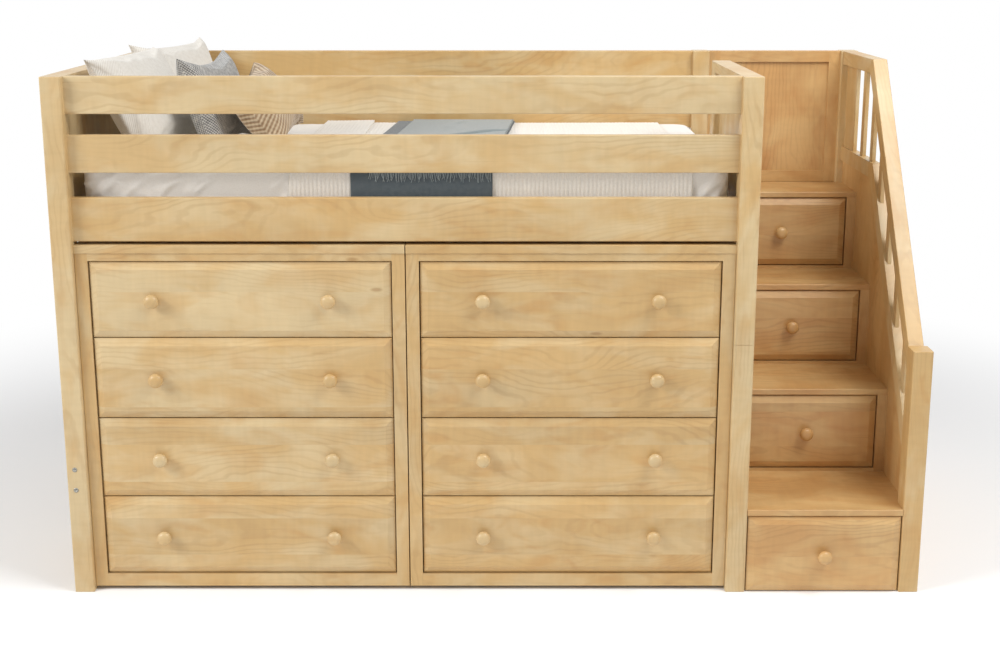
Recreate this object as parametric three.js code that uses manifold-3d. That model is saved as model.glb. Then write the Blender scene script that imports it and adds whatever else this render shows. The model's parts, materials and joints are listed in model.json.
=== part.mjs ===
// A loft bed of clear-finished maple, with two four-drawer dressers under it and a four-drawer
// staircase at its right end. Millimetres, +Z up, the front faces -Y, and +X is to the right.
// While it is built, x runs from the bed's left face, y back from the front of the posts, and z
// up from the floor. The last lines move the origin to the middle of the footprint.
import * as THREE from "three";
import { mergeVertices } from "three/addons/utils/BufferGeometryUtils.js";
import Module from "manifold-3d";

// Bed frame
const BED_LENGTH_INSIDE = 1930; // between the end posts
const BED_DEPTH = 1105; // front of the front posts to back of the back posts
const BED_HEIGHT = 1572; // top of the posts, of the top rails and of the handrail
const POST_WIDTH = 60;
const POST_DEPTH = 66;
const RAIL_THICKNESS = 24;
const RAIL_SETBACK = 24; // rail face behind the post face, on the front and on the back
const TOP_RAIL_HEIGHT = 108;
const MIDDLE_RAIL_HEIGHT = 110;
const SIDE_RAIL_HEIGHT = 130;
const UPPER_RAIL_GAP = 60; // between the top and the middle rail
const LOWER_RAIL_GAP = 72; // between the middle and the side rail
const END_PANEL_THICKNESS = 22;
const END_CAP_HEIGHT = 34;
const END_RAIL_HEIGHT = 105;
const END_RAIL_TOP = 415;
const ENTRY_WIDTH = 435; // between the entry post and the back post
const POST_SEAM_HEIGHT = 786; // a stacking joint in the front right post
const SEAM_GROOVE = 1.5;

// Slats and mattress
const SLAT_COUNT = 15;
const SLAT_WIDTH = 72;
const SLAT_THICKNESS = 18;
const SLAT_DROP = 92; // slats below the top of the side rails
const CLEAT_WIDTH = 25;
const MATTRESS_END_GAP = 12; // to the posts' inner faces
const MATTRESS_SIDE_GAP = 22.5; // to the rails' inner faces
const MATTRESS_THICKNESS = 185;
const MATTRESS_CORNER = 60;
const MATTRESS_EASE = 26;

// Dressers
const DRESSER_DEPTH = 470;
const DRESSER_TOP_GAP = 9; // under the side rails
const DRESSER_SETBACK = 17; // face frame behind the post face
const DRESSER_POST_GAP = 0.3; // beside the posts
const DRESSER_MIDDLE_GAP = 3; // the dark line between the two dressers
const DRESSER_TOP_THICKNESS = 25;
const DRESSER_TOP_OVERHANG = 3;
const GLIDE_HEIGHT = 13;
const GLIDE_RADIUS = 16;
const GLIDE_INSET = 40;
const FACE_FRAME_THICKNESS = 20;
const FACE_STILE_WIDTH = 38;
const FACE_TOP_RAIL_HEIGHT = 22;
const FACE_BOTTOM_RAIL_HEIGHT = 40;
const CASE_SIDE_THICKNESS = 19;
const CASE_BOTTOM_THICKNESS = 12;
const CASE_BACK_THICKNESS = 6;
const DRESSER_ROWS = 4;
const TOP_FRONT_HEIGHT = 228.5;

// Drawers
const FRONT_GAP = 3; // reveal round a drawer front
const FRONT_EDGE_THICKNESS = 14;
const FIELD_RAISE = 8; // raised field above the edge of a front
const FRONT_EDGE_SETBACK = 3; // edge of a front behind the frame
const BEVEL_WIDTH = 22;
const BOX_WALL = 12;
const BOX_BOTTOM_THICKNESS = 6;
const BOX_SIDE_CLEARANCE = 6;
const BOX_TOP_CLEARANCE = 34; // box side below the top edge of its front
const BOX_LIFT = 14; // box above the bottom edge of its front
const DRESSER_BOX_DEPTH = 410;
const RUNNER_HEIGHT = 12;
const RUNNER_REACH = 16; // runner under a box side
const RUNNING_GAP = 0.3;
const KNOB_RADIUS = 21.5;
const KNOB_PROJECTION = 34;
const KNOB_NECK_RADIUS = 9;
const KNOB_BASE_RADIUS = 12;
const KNOB_BASE_THICKNESS = 2;
const KNOB_NECK_OUT = 7; // the neck's narrowest place, from the field
const KNOB_SINK = 1;
const KNOB_INSET = 183; // knob to the side edge of a dresser front

// Stairs
const STAIR_WIDTH = 470; // between the bed's post and the newel
const LOWER_RUNS = [317, 275, 242]; // the top step takes the rest, back to the guard panel
const TOP_STEP_DROP = 125; // top step below the side rails' top
const FIRST_RISE_LESS = 10; // lower than the rises between
const LAST_RISE_LESS = 5;
const TREAD_THICKNESS = 20;
const TREAD_EASE = 3;
const STEP_FRAME_THICKNESS = 20;
const STEP_STILE_WIDTH = 30;
const STEP_SILL_HEIGHT = 9;
const STAIR_SIDE_THICKNESS = 18;
const STAIR_PANEL_THICKNESS = 12;
const LOWER_BOX_DEPTHS = [460, 440];
const UPPER_BOX_GAPS = [56, 36]; // the upper two boxes to the stair's back
const STAIR_FLOOR_GAP = 3;
const STAIR_RUNNER_HEIGHT = 6;
const NEWEL_HEIGHT = 765;
const HANDRAIL_WIDTH = 47;
const HANDRAIL_THICKNESS = 48;
const HANDRAIL_DROP = 20; // its top below the newel's, where they meet
const CAP_WIDTH = 30;
const CAP_THICKNESS = 51;
const CAP_ABOVE_FIRST_STEP = 189; // where it meets the newel
const CAP_ABOVE_TOP_STEP = 134;
const RAIL_SLOPE = 1.42; // rise over run of the handrail and of the cap
const BALUSTER_COUNT = 6;
const BALUSTER_WIDTH = 34;
const BALUSTER_THICKNESS = 12;
const BALUSTER_SINK = 6; // a baluster's foot in the cap rail
const END_STILE_WIDTH = 139; // the wide stile beside the back post
const GUARD_THICKNESS = 24;
const GUARD_SETBACK = 26; // its back to the back of the posts
const GUARD_STILE = 40;
const GUARD_FIELD_RECESS = 9;
const GUARD_FIELD_THICKNESS = 9;
const STAIR_BACK_THICKNESS = 12;

// Bedding
const QUILT_THICKNESS = 10.5;
const QUILT_HEAD_GAP = 618; // mattress that it leaves bare at the head
const QUILT_FOOT_GAP = 118;
const QUILT_DROP = 130; // how far it hangs at the front
const QUILT_BACK_DROP = 60;
const FOLD_WIDTH = 165; // the turned-down band at the quilt's left end
const FOLD_THICKNESS = 13;
const THROW_FROM_QUILT = 178; // from the quilt's turned-down end
const THROW_WIDTH = 410;
const THROW_THICKNESS = 6.5;
const THROW_LAYER = 9; // its folded upper layer, which lies on top only
const THROW_EDGE = 52; // lower layer that shows to the left of the upper one
const SOFT_GAP = 0.4;
const SIDE_ROUNDING = 21; // tighter than the mattress edge, so a cover clears it
const PILLOW_DRAW_IN = 0.06; // share of a side that is drawn in at its middle
const PILLOW_CROWN = 0.42; // a lower power gives a fuller pillow
const PILLOW_COLUMNS = 14;
const PILLOW_ROWS = 12;

// The pillows from the head on: cream at the back, cream at the front, charcoal, tan
const PILLOW_HEIGHTS = [336, 347, 306, 261];
const PILLOW_THICKNESSES = [96, 117, 100, 128];
const PILLOW_HEAD_INSETS = [144, 126.5, 326, 485]; // middle to the mattress's head end
const PILLOW_BACK_INSETS = [-20.5, 366.5, 324.5, 319.5]; // back edge to the mattress's back
const BACK_PILLOW_WIDTH = 452;
const PILLOW_FRONT_INSETS = [62, 219.5, 190.5]; // front edges of the other three to its front

// Easing of the long edges
const POST_EASE = 5;
const RAIL_EASE = 4;
const EDGE_EASE = 2;
const SEAT_GAP = 0.3; // between pieces that meet on a slope or inside a turned group

const GRID = 256; // vertices sit on a 1/256 mm grid, so faces that meet share one plane
const MERGE_DISTANCE = 1e-4; // between vertices that are one
const OVERLAP = 1; // how far joined blocks reach into each other, and cutters past a face
const ROUND_STEPS = 16; // sides of a knob and of a glide
const TURN = Math.PI * 2;

const wasm = await Module();
wasm.setup();

const maple = new THREE.MeshStandardMaterial({ color: 0xd9b27c, roughness: 0.42 });
const mapleDark = new THREE.MeshStandardMaterial({ color: 0xc89c66, roughness: 0.45 });
const birchPly = new THREE.MeshStandardMaterial({ color: 0xe3c79a, roughness: 0.6 });
const sheetCotton = new THREE.MeshStandardMaterial({ color: 0xe9e6e1, roughness: 0.9 });
const quiltCotton = new THREE.MeshStandardMaterial({ color: 0xe6e3dc, roughness: 0.95 });
const slateWool = new THREE.MeshStandardMaterial({ color: 0x5f6f78, roughness: 0.95 });
const creamLinen = new THREE.MeshStandardMaterial({ color: 0xe4e2dd, roughness: 0.95 });
const charcoalWeave = new THREE.MeshStandardMaterial({ color: 0x55565a, roughness: 0.95 });
const tanWeave = new THREE.MeshStandardMaterial({ color: 0x9c7f5f, roughness: 0.95 });

const bed = new THREE.Group();

const onGrid = (value) => Math.round(value * GRID) / GRID;
const span = (centre, width) => [centre - width / 2, centre + width / 2];
const grown = ([a, b], by) => [a - by, b + by];

/** Adds a named piece to the bed, with its vertices on the grid. */
function addPiece(name, geometry, material) {
  const position = geometry.getAttribute("position");
  position.array.forEach((value, i) => (position.array[i] = onGrid(value)));
  geometry.computeVertexNormals();
  const mesh = new THREE.Mesh(geometry, material);
  mesh.name = name;
  bed.add(mesh);
  return mesh;
}

/** A box between two values on each axis. */
function block([x0, x1], [y0, y1], [z0, z1]) {
  const geometry = new THREE.BoxGeometry(x1 - x0, y1 - y0, z1 - z0);
  geometry.translate((x0 + x1) / 2, (y0 + y1) / 2, (z0 + z1) / 2);
  return geometry;
}

/** A shape extruded along an axis from start to end. Its two coordinates are the next two axes. */
function prism(shape, axis, start, end, endEase = 0, curveSegments = 3) {
  const geometry = new THREE.ExtrudeGeometry(shape, {
    depth: end - start - 2 * endEase,
    curveSegments,
    bevelEnabled: endEase > 0,
    bevelThickness: endEase,
    bevelSize: endEase,
    bevelOffset: -endEase,
    bevelSegments: 2,
  });
  geometry.translate(0, 0, start + endEase);
  const [ax, ay, az] = ["x", "y", "z"].map((_, i) => new THREE.Vector3().setComponent(i, 1));
  const bases = { x: [ay, az, ax], y: [az, ax, ay], z: [ax, ay, az] };
  return geometry.applyMatrix4(new THREE.Matrix4().makeBasis(...bases[axis]));
}

/** A closed outline through points. */
function outline(points) {
  return new THREE.Shape(points.map(([u, v]) => new THREE.Vector2(u, v)));
}

/** A rectangle with rounded corners. */
function roundedRectangle([u0, u1], [v0, v1], radius) {
  const shape = new THREE.Shape();
  shape.moveTo(u0 + radius, v0);
  shape.lineTo(u1 - radius, v0);
  shape.absarc(u1 - radius, v0 + radius, radius, -TURN / 4, 0);
  shape.lineTo(u1, v1 - radius);
  shape.absarc(u1 - radius, v1 - radius, radius, 0, TURN / 4);
  shape.lineTo(u0 + radius, v1);
  shape.absarc(u0 + radius, v1 - radius, radius, TURN / 4, TURN / 2);
  shape.lineTo(u0, v0 + radius);
  shape.absarc(u0 + radius, v0 + radius, radius, TURN / 2, TURN * 0.75);
  return shape;
}

/** A bar with eased long edges, along one axis. */
function easedBar(x, y, z, axis, ease, endEase = 0) {
  const [u, v, along] = { x: [y, z, x], y: [z, x, y], z: [x, y, z] }[axis];
  return prism(roundedRectangle(u, v, ease), axis, along[0], along[1], endEase, 2);
}

/** A geometry as a solid for joining and cutting. */
function solidOf(geometry) {
  const bare = geometry.clone();
  bare.deleteAttribute("normal");
  bare.deleteAttribute("uv");
  const merged = mergeVertices(bare, MERGE_DISTANCE);
  return new wasm.Manifold(
    new wasm.Mesh({
      numProp: 3,
      vertProperties: new Float32Array(merged.attributes.position.array),
      triVerts: new Uint32Array(merged.index.array),
    }),
  );
}

/** A joined or cut solid as a geometry. */
function geometryOf(solid) {
  const mesh = solid.getMesh();
  const geometry = new THREE.BufferGeometry();
  geometry.setAttribute("position", new THREE.BufferAttribute(new Float32Array(mesh.vertProperties), 3));
  geometry.setIndex(new THREE.BufferAttribute(new Uint32Array(mesh.triVerts), 1));
  return geometry.toNonIndexed();
}

/** Several geometries joined into one. */
function joined(geometries) {
  return geometryOf(geometries.map(solidOf).reduce((whole, part) => whole.add(part)));
}

/** One geometry with others cut out of it. */
function cut(geometry, cutters) {
  return geometryOf(cutters.map(solidOf).reduce((whole, part) => whole.subtract(part), solidOf(geometry)));
}

// Places that several pieces share
const bedLength = BED_LENGTH_INSIDE + 2 * POST_WIDTH;
const leftPostX = [0, POST_WIDTH];
const rightPostX = [POST_WIDTH + BED_LENGTH_INSIDE, bedLength];
const insideX = [leftPostX[1], rightPostX[0]];
const frontPostY = [0, POST_DEPTH];
const backPostY = [BED_DEPTH - POST_DEPTH, BED_DEPTH];
const frontRailY = [RAIL_SETBACK, RAIL_SETBACK + RAIL_THICKNESS];
const backRailY = [BED_DEPTH - frontRailY[1], BED_DEPTH - frontRailY[0]];
const topRailZ = [BED_HEIGHT - TOP_RAIL_HEIGHT, BED_HEIGHT];
const middleRailTop = topRailZ[0] - UPPER_RAIL_GAP;
const middleRailZ = [middleRailTop - MIDDLE_RAIL_HEIGHT, middleRailTop];
const sideRailTop = middleRailZ[0] - LOWER_RAIL_GAP;
const sideRailZ = [sideRailTop - SIDE_RAIL_HEIGHT, sideRailTop];
const slatTop = sideRailTop - SLAT_DROP;
const dresserHeight = sideRailZ[0] - DRESSER_TOP_GAP;
const newelX = [bedLength + STAIR_WIDTH, bedLength + STAIR_WIDTH + POST_WIDTH];
const railCentreX = (newelX[0] + newelX[1]) / 2;
const entryPostY = [backPostY[0] - ENTRY_WIDTH - POST_DEPTH, backPostY[0] - ENTRY_WIDTH];
const bedCentreX = (insideX[0] + insideX[1]) / 2;

/** The four corner posts, the right front one with its stacking joint. */
function addPosts() {
  const post = (x, y, top) => easedBar(x, y, [0, top], "z", POST_EASE, EDGE_EASE);
  addPiece("post_front_left", post(leftPostX, frontPostY, BED_HEIGHT), maple);
  addPiece("post_back_left", post(leftPostX, backPostY, BED_HEIGHT), maple);
  addPiece("post_back_right", post(rightPostX, backPostY, BED_HEIGHT), maple);
  const seam = span(POST_SEAM_HEIGHT, SEAM_GROOVE);
  const ring = cut(block(grown(rightPostX, SEAM_GROOVE), grown(frontPostY, SEAM_GROOVE), seam), [
    block(grown(rightPostX, -SEAM_GROOVE), grown(frontPostY, -SEAM_GROOVE), grown(seam, SEAM_GROOVE)),
  ]);
  addPiece("post_front_right", cut(post(rightPostX, frontPostY, BED_HEIGHT), [ring]), maple);
}

/** Three rails on the front and three on the back, between the posts. */
function addRails() {
  const heights = { top: topRailZ, middle: middleRailZ, side: sideRailZ };
  for (const [place, z] of Object.entries(heights)) {
    addPiece(`rail_front_${place}`, easedBar(insideX, frontRailY, z, "x", RAIL_EASE), maple);
    addPiece(`rail_back_${place}`, easedBar(insideX, backRailY, z, "x", RAIL_EASE), maple);
  }
}

/** The closed left end with its lower rail, and the right end with the entry beside its post. */
function addEnds() {
  const between = [frontPostY[1], backPostY[0]];
  const cap = (x, y) => easedBar(x, y, [BED_HEIGHT - END_CAP_HEIGHT, BED_HEIGHT], "y", EDGE_EASE);
  const board = (x, y, z) => block(span((x[0] + x[1]) / 2, END_PANEL_THICKNESS), y, z);
  const panelZ = [sideRailZ[0], BED_HEIGHT - END_CAP_HEIGHT / 2];
  addPiece("end_panel_left", joined([board(leftPostX, between, panelZ), cap(leftPostX, between)]), maple);
  const lowerZ = [END_RAIL_TOP - END_RAIL_HEIGHT, END_RAIL_TOP];
  const lowerX = span((leftPostX[0] + leftPostX[1]) / 2, RAIL_THICKNESS);
  addPiece("end_rail_left", easedBar(lowerX, between, lowerZ, "y", RAIL_EASE), maple);
  const closed = [frontPostY[1], entryPostY[0]];
  const sill = board(rightPostX, between, sideRailZ);
  const rightEnd = [board(rightPostX, closed, panelZ), cap(rightPostX, closed), sill];
  addPiece("end_panel_right", joined(rightEnd), maple);
  const entry = easedBar(rightPostX, entryPostY, [sideRailTop, BED_HEIGHT], "z", POST_EASE, EDGE_EASE);
  addPiece("entry_post", entry, maple);
}

/** Slats on two cleats that run along the side rails. */
function addSlatDeck() {
  const y = [frontRailY[1], backRailY[0]];
  const slatZ = [slatTop - SLAT_THICKNESS, slatTop];
  const cleatZ = [sideRailZ[0], slatZ[0]];
  const parts = [
    block(insideX, [y[0], y[0] + CLEAT_WIDTH], cleatZ),
    block(insideX, [y[1] - CLEAT_WIDTH, y[1]], cleatZ),
  ];
  const pitch = BED_LENGTH_INSIDE / SLAT_COUNT;
  for (let i = 0; i < SLAT_COUNT; i++) {
    parts.push(block(span(insideX[0] + pitch * (i + 0.5), SLAT_WIDTH), y, slatZ));
  }
  addPiece("slat_deck", joined(parts), birchPly);
}

/** A turned knob on a drawer front, its base sunk into the field at y. */
function knob(x, y, z) {
  const profile = [
    [0, -KNOB_SINK],
    [KNOB_BASE_RADIUS, -KNOB_SINK],
    [KNOB_BASE_RADIUS, KNOB_BASE_THICKNESS],
    [KNOB_NECK_RADIUS, KNOB_NECK_OUT],
    [KNOB_RADIUS * 0.72, KNOB_PROJECTION * 0.36],
    [KNOB_RADIUS, KNOB_PROJECTION * 0.58],
    [KNOB_RADIUS * 0.86, KNOB_PROJECTION * 0.84],
    [KNOB_RADIUS * 0.4, KNOB_PROJECTION * 0.985],
    [0, KNOB_PROJECTION],
  ];
  const points = profile.map(([radius, out]) => new THREE.Vector2(radius, out));
  const geometry = new THREE.LatheGeometry(points, ROUND_STEPS);
  geometry.rotateX(TURN / 2);
  geometry.translate(x, y, z);
  return geometry;
}

/** A raised-field front: full size at its back and edge, then bevelled in to the field. */
function raisedFront([x0, x1], edgeY, [z0, z1]) {
  const field = outline([
    [z0 + BEVEL_WIDTH, x0 + BEVEL_WIDTH],
    [z1 - BEVEL_WIDTH, x0 + BEVEL_WIDTH],
    [z1 - BEVEL_WIDTH, x1 - BEVEL_WIDTH],
    [z0 + BEVEL_WIDTH, x1 - BEVEL_WIDTH],
  ]);
  const raised = prism(field, "y", edgeY - FIELD_RAISE, edgeY + FRONT_EDGE_THICKNESS);
  const position = raised.getAttribute("position");
  const [middleX, middleZ] = [(x0 + x1) / 2, (z0 + z1) / 2];
  for (let i = 0; i < position.count; i++) {
    if (position.getY(i) > edgeY) {
      position.setX(i, position.getX(i) < middleX ? x0 : x1);
      position.setZ(i, position.getZ(i) < middleZ ? z0 : z1);
      position.setY(i, edgeY);
    }
  }
  return joined([raised, block([x0, x1], [edgeY, edgeY + FRONT_EDGE_THICKNESS], [z0, z1])]);
}

/** One drawer: its front with knobs, and its open box behind. */
function addDrawer(name, frontX, frameY, frontZ, boxX, boxDepth, knobXs) {
  const edgeY = frameY + FRONT_EDGE_SETBACK;
  const backY = edgeY + FRONT_EDGE_THICKNESS;
  const knobZ = (frontZ[0] + frontZ[1]) / 2;
  const knobs = knobXs.map((x) => knob(x, edgeY - FIELD_RAISE, knobZ));
  addPiece(`${name}_front`, joined([raisedFront(frontX, edgeY, frontZ), ...knobs]), maple);
  const boxY = [backY, backY + boxDepth];
  const boxZ = [frontZ[0] + BOX_LIFT, frontZ[1] - BOX_TOP_CLEARANCE];
  const hollow = block(
    [boxX[0] + BOX_WALL, boxX[1] - BOX_WALL],
    [boxY[0] + BOX_WALL, boxY[1] - BOX_WALL],
    [boxZ[0] + BOX_BOTTOM_THICKNESS, boxZ[1] + BOX_WALL],
  );
  addPiece(`${name}_box`, cut(block(boxX, boxY, boxZ), [hollow]), birchPly);
}

/** The z ranges of a dresser's four fronts, from the top one down. */
function dresserFronts() {
  const openTop = dresserHeight - DRESSER_TOP_THICKNESS - FACE_TOP_RAIL_HEIGHT;
  const openBottom = GLIDE_HEIGHT + FACE_BOTTOM_RAIL_HEIGHT;
  const lowerRows = DRESSER_ROWS - 1;
  const gaps = FRONT_GAP * (DRESSER_ROWS + 1);
  const lowerHeight = (openTop - openBottom - gaps - TOP_FRONT_HEIGHT) / lowerRows;
  let top = openTop - FRONT_GAP;
  return Array.from({ length: DRESSER_ROWS }, (_, row) => {
    const bottom = top - (row === 0 ? TOP_FRONT_HEIGHT : lowerHeight);
    const range = [bottom, top];
    top = bottom - FRONT_GAP;
    return range;
  });
}

/** A dresser: case, face frame, top, runners and glides in one, and its four drawers. */
function addDresser(side, x) {
  const y = [DRESSER_SETBACK, DRESSER_SETBACK + DRESSER_DEPTH];
  const frameY = [y[0], y[0] + FACE_FRAME_THICKNESS];
  const topZ = [dresserHeight - DRESSER_TOP_THICKNESS, dresserHeight];
  const caseZ = [GLIDE_HEIGHT, topZ[0]];
  const behindFrame = [frameY[0] + FACE_FRAME_THICKNESS / 2, y[1]];
  const sideX = [
    [x[0], x[0] + CASE_SIDE_THICKNESS],
    [x[1] - CASE_SIDE_THICKNESS, x[1]],
  ];
  const openX = [x[0] + FACE_STILE_WIDTH, x[1] - FACE_STILE_WIDTH];
  const openZ = [GLIDE_HEIGHT + FACE_BOTTOM_RAIL_HEIGHT, topZ[0] - FACE_TOP_RAIL_HEIGHT];
  const boxX = [openX[0] + BOX_SIDE_CLEARANCE, openX[1] - BOX_SIDE_CLEARANCE];
  const fronts = dresserFronts();
  const opening = block(openX, grown(frameY, OVERLAP), openZ);
  const frame = cut(easedBar(x, frameY, caseZ, "z", EDGE_EASE), [opening]);
  const floorZ = [openZ[0] - CASE_BOTTOM_THICKNESS, openZ[0]];
  const parts = [
    frame,
    block(sideX[0], behindFrame, caseZ),
    block(sideX[1], behindFrame, caseZ),
    block(x, behindFrame, floorZ),
    block(x, [y[1] - CASE_BACK_THICKNESS, y[1]], caseZ),
    easedBar(x, [y[0] - DRESSER_TOP_OVERHANG, y[1]], topZ, "x", EDGE_EASE),
  ];
  for (const front of fronts) {
    const runnerTop = front[0] + BOX_LIFT - RUNNING_GAP;
    const runnerZ = [runnerTop - RUNNER_HEIGHT, runnerTop];
    const runnerY = [frameY[1] - OVERLAP, y[1] - OVERLAP];
    parts.push(block([x[0] + OVERLAP, boxX[0] + RUNNER_REACH], runnerY, runnerZ));
    parts.push(block([boxX[1] - RUNNER_REACH, x[1] - OVERLAP], runnerY, runnerZ));
  }
  for (const glideX of [x[0] + GLIDE_INSET, x[1] - GLIDE_INSET]) {
    for (const glideY of [frameY[1] + GLIDE_INSET, y[1] - GLIDE_INSET]) {
      const glideTop = floorZ[0] + OVERLAP;
      const glide = new THREE.CylinderGeometry(GLIDE_RADIUS, GLIDE_RADIUS, glideTop, ROUND_STEPS);
      glide.rotateX(TURN / 4);
      glide.translate(glideX, glideY, glideTop / 2);
      parts.push(glide);
    }
  }
  addPiece(`dresser_${side}_case`, joined(parts), maple);
  fronts.forEach((frontZ, row) => {
    const frontX = [openX[0] + FRONT_GAP, openX[1] - FRONT_GAP];
    const knobXs = [frontX[0] + KNOB_INSET, frontX[1] - KNOB_INSET];
    addDrawer(`dresser_${side}_drawer_${row + 1}`, frontX, y[0], frontZ, boxX, DRESSER_BOX_DEPTH, knobXs);
  });
}

// The stair's levels: where each step begins, and the top of its tread
const stairX = [bedLength, newelX[0]];
const panelX = span(railCentreX, STAIR_PANEL_THICKNESS);
const sumOf = (values) => values.reduce((sum, value) => sum + value, 0);
const stepFronts = [0, ...LOWER_RUNS.map((_, i) => sumOf(LOWER_RUNS.slice(0, i + 1)))];
const stepCount = stepFronts.length;
const topStep = sideRailTop - TOP_STEP_DROP;
const middleRise = (topStep + FIRST_RISE_LESS + LAST_RISE_LESS) / stepCount;
const lowerTops = LOWER_RUNS.map((_, i) => (i + 1) * middleRise - FIRST_RISE_LESS);
const stepTops = [...lowerTops, topStep];
const stairBackY = BED_DEPTH - GUARD_SETBACK - GUARD_THICKNESS;
const boxBehindFront = FRONT_EDGE_SETBACK + FRONT_EDGE_THICKNESS;
const upperBoxDepths = UPPER_BOX_GAPS.map(
  (gap, i) => stairBackY - gap - stepFronts[LOWER_BOX_DEPTHS.length + i] - boxBehindFront,
);
const stairBoxDepths = [...LOWER_BOX_DEPTHS, ...upperBoxDepths];
const stepFloor = (i) => (i === 0 ? 0 : stepTops[i - 1]);
const stepOpenX = [stairX[0], panelX[0] - STEP_STILE_WIDTH];
const stairBoxX = [stairX[0] + STAIR_SIDE_THICKNESS + BOX_SIDE_CLEARANCE, stepOpenX[1] - BOX_SIDE_CLEARANCE];
const stepOpenZ = (i) => [
  i === 0 ? STAIR_FLOOR_GAP - FRONT_GAP : stepFloor(i) + STEP_SILL_HEIGHT,
  stepTops[i] - TREAD_THICKNESS,
];
const stepFrontZ = (i) => [stepOpenZ(i)[0] + FRONT_GAP, stepOpenZ(i)[1] - FRONT_GAP];

const handrailAtNewel = NEWEL_HEIGHT - HANDRAIL_DROP;
const capAtNewel = stepTops[0] + CAP_ABOVE_FIRST_STEP;
const capLevelTop = stepTops[stepCount - 1] + CAP_ABOVE_TOP_STEP;

/** Where the top of a sloping rail lies above y: it climbs from the newel, then runs level. */
const railTop = (atNewel, levelTop) => (y) => Math.min(levelTop, atNewel + RAIL_SLOPE * (y - frontPostY[1]));
const kneeOf = (atNewel, levelTop) => frontPostY[1] + (levelTop - atNewel) / RAIL_SLOPE;
const slopeLength = Math.hypot(1, RAIL_SLOPE);

/** The side outline of a rail that climbs from the newel and then runs level to the back post. */
function railOutline(atNewel, levelTop, thickness) {
  const under = atNewel - thickness * slopeLength;
  return outline([
    [frontPostY[1], under],
    [kneeOf(under, levelTop - thickness), levelTop - thickness],
    [backPostY[0], levelTop - thickness],
    [backPostY[0], levelTop],
    [kneeOf(atNewel, levelTop), levelTop],
    [frontPostY[1], atNewel],
  ]);
}

/** An upright between two rails, its ends cut to their slopes. */
function upright([y0, y1], bottomAt, bottomKnee, topAt, topKnee) {
  const within = (y) => y > y0 && y < y1;
  const low = [y0, bottomKnee, y1].filter((y) => y === y0 || y === y1 || within(y));
  const high = [y1, topKnee, y0].filter((y) => y === y0 || y === y1 || within(y));
  const points = [...low.map((y) => [y, bottomAt(y)]), ...high.map((y) => [y, topAt(y)])];
  return prism(outline(points), "x", ...span(railCentreX, BALUSTER_THICKNESS));
}

/** Newel, back post, handrail, and the cap rail with the balusters that stand on it. */
function addStairRailing() {
  addPiece("stair_newel", easedBar(newelX, frontPostY, [0, NEWEL_HEIGHT], "z", POST_EASE, EDGE_EASE), maple);
  addPiece("stair_back_post", easedBar(newelX, backPostY, [0, BED_HEIGHT], "z", POST_EASE, EDGE_EASE), maple);
  const handrail = railOutline(handrailAtNewel, BED_HEIGHT, HANDRAIL_THICKNESS);
  const handrailX = span(railCentreX, HANDRAIL_WIDTH);
  addPiece("stair_handrail", prism(handrail, "x", handrailX[0], handrailX[1], EDGE_EASE), maple);
  const capOutline = railOutline(capAtNewel, capLevelTop, CAP_THICKNESS);
  const cap = prism(capOutline, "x", ...span(railCentreX, CAP_WIDTH));
  const bottomAt = railTop(capAtNewel - BALUSTER_SINK, capLevelTop - BALUSTER_SINK);
  const bottomKnee = kneeOf(capAtNewel, capLevelTop);
  const under = handrailAtNewel - (HANDRAIL_THICKNESS + SEAT_GAP) * slopeLength;
  const underLevel = BED_HEIGHT - HANDRAIL_THICKNESS - SEAT_GAP;
  const topAt = railTop(under, underLevel);
  const topKnee = kneeOf(under, underLevel);
  const stile = [backPostY[0] - END_STILE_WIDTH, backPostY[0]];
  const uprights = [upright(stile, bottomAt, bottomKnee, topAt, topKnee)];
  const free = stile[0] - frontPostY[1];
  const gap = (free - BALUSTER_COUNT * BALUSTER_WIDTH) / (BALUSTER_COUNT + 1);
  for (let i = 0; i < BALUSTER_COUNT; i++) {
    const start = frontPostY[1] + gap + i * (gap + BALUSTER_WIDTH);
    uprights.push(upright([start, start + BALUSTER_WIDTH], bottomAt, bottomKnee, topAt, topKnee));
  }
  addPiece("stair_cap_rail", joined([cap, ...uprights]), maple);
}

/** The runner strips that carry the stair drawers, against a side panel. */
function stairRunners(x) {
  return stepFronts.map((front, i) => {
    const top = stepFrontZ(i)[0] + BOX_LIFT - RUNNING_GAP;
    const start = Math.max(front + STEP_FRAME_THICKNESS + TREAD_EASE, frontPostY[1] + SEAT_GAP);
    const end = Math.min(front + STEP_FRAME_THICKNESS + stairBoxDepths[i], backPostY[0]);
    return block(x, [start, end], [top - STAIR_RUNNER_HEIGHT, top]);
  });
}

/** The solid panel under the cap rail, and the stepped panel against the bed. */
function addStairSides() {
  const under = capAtNewel - (CAP_THICKNESS + SEAT_GAP) * slopeLength;
  const level = capLevelTop - CAP_THICKNESS - SEAT_GAP;
  const slab = outline([
    [frontPostY[1], 0],
    [backPostY[0], 0],
    [backPostY[0], level],
    [kneeOf(under, level), level],
    [frontPostY[1], under],
  ]);
  const rightRunners = stairRunners([stairBoxX[1] - RUNNER_REACH, panelX[0] + OVERLAP]);
  addPiece("stair_side_right", joined([prism(slab, "x", ...panelX), ...rightRunners]), mapleDark);
  const steps = [[stairBackY, 0]];
  for (let i = stepCount - 1; i >= 0; i--) {
    const treadUnder = stepTops[i] - TREAD_THICKNESS;
    const treadBack = i === stepCount - 1 ? stairBackY : stepFronts[i + 1] + STEP_FRAME_THICKNESS;
    steps.push([treadBack, treadUnder]);
    steps.push([stepFronts[i] + STEP_FRAME_THICKNESS, treadUnder]);
  }
  steps.push([stepFronts[0] + STEP_FRAME_THICKNESS, 0]);
  const leftX = [stairX[0], stairX[0] + STAIR_SIDE_THICKNESS];
  const leftRunners = stairRunners([leftX[1] - OVERLAP, stairBoxX[0] + RUNNER_REACH]);
  addPiece("stair_side_left", joined([prism(outline(steps), "x", ...leftX), ...leftRunners]), mapleDark);
}

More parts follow.
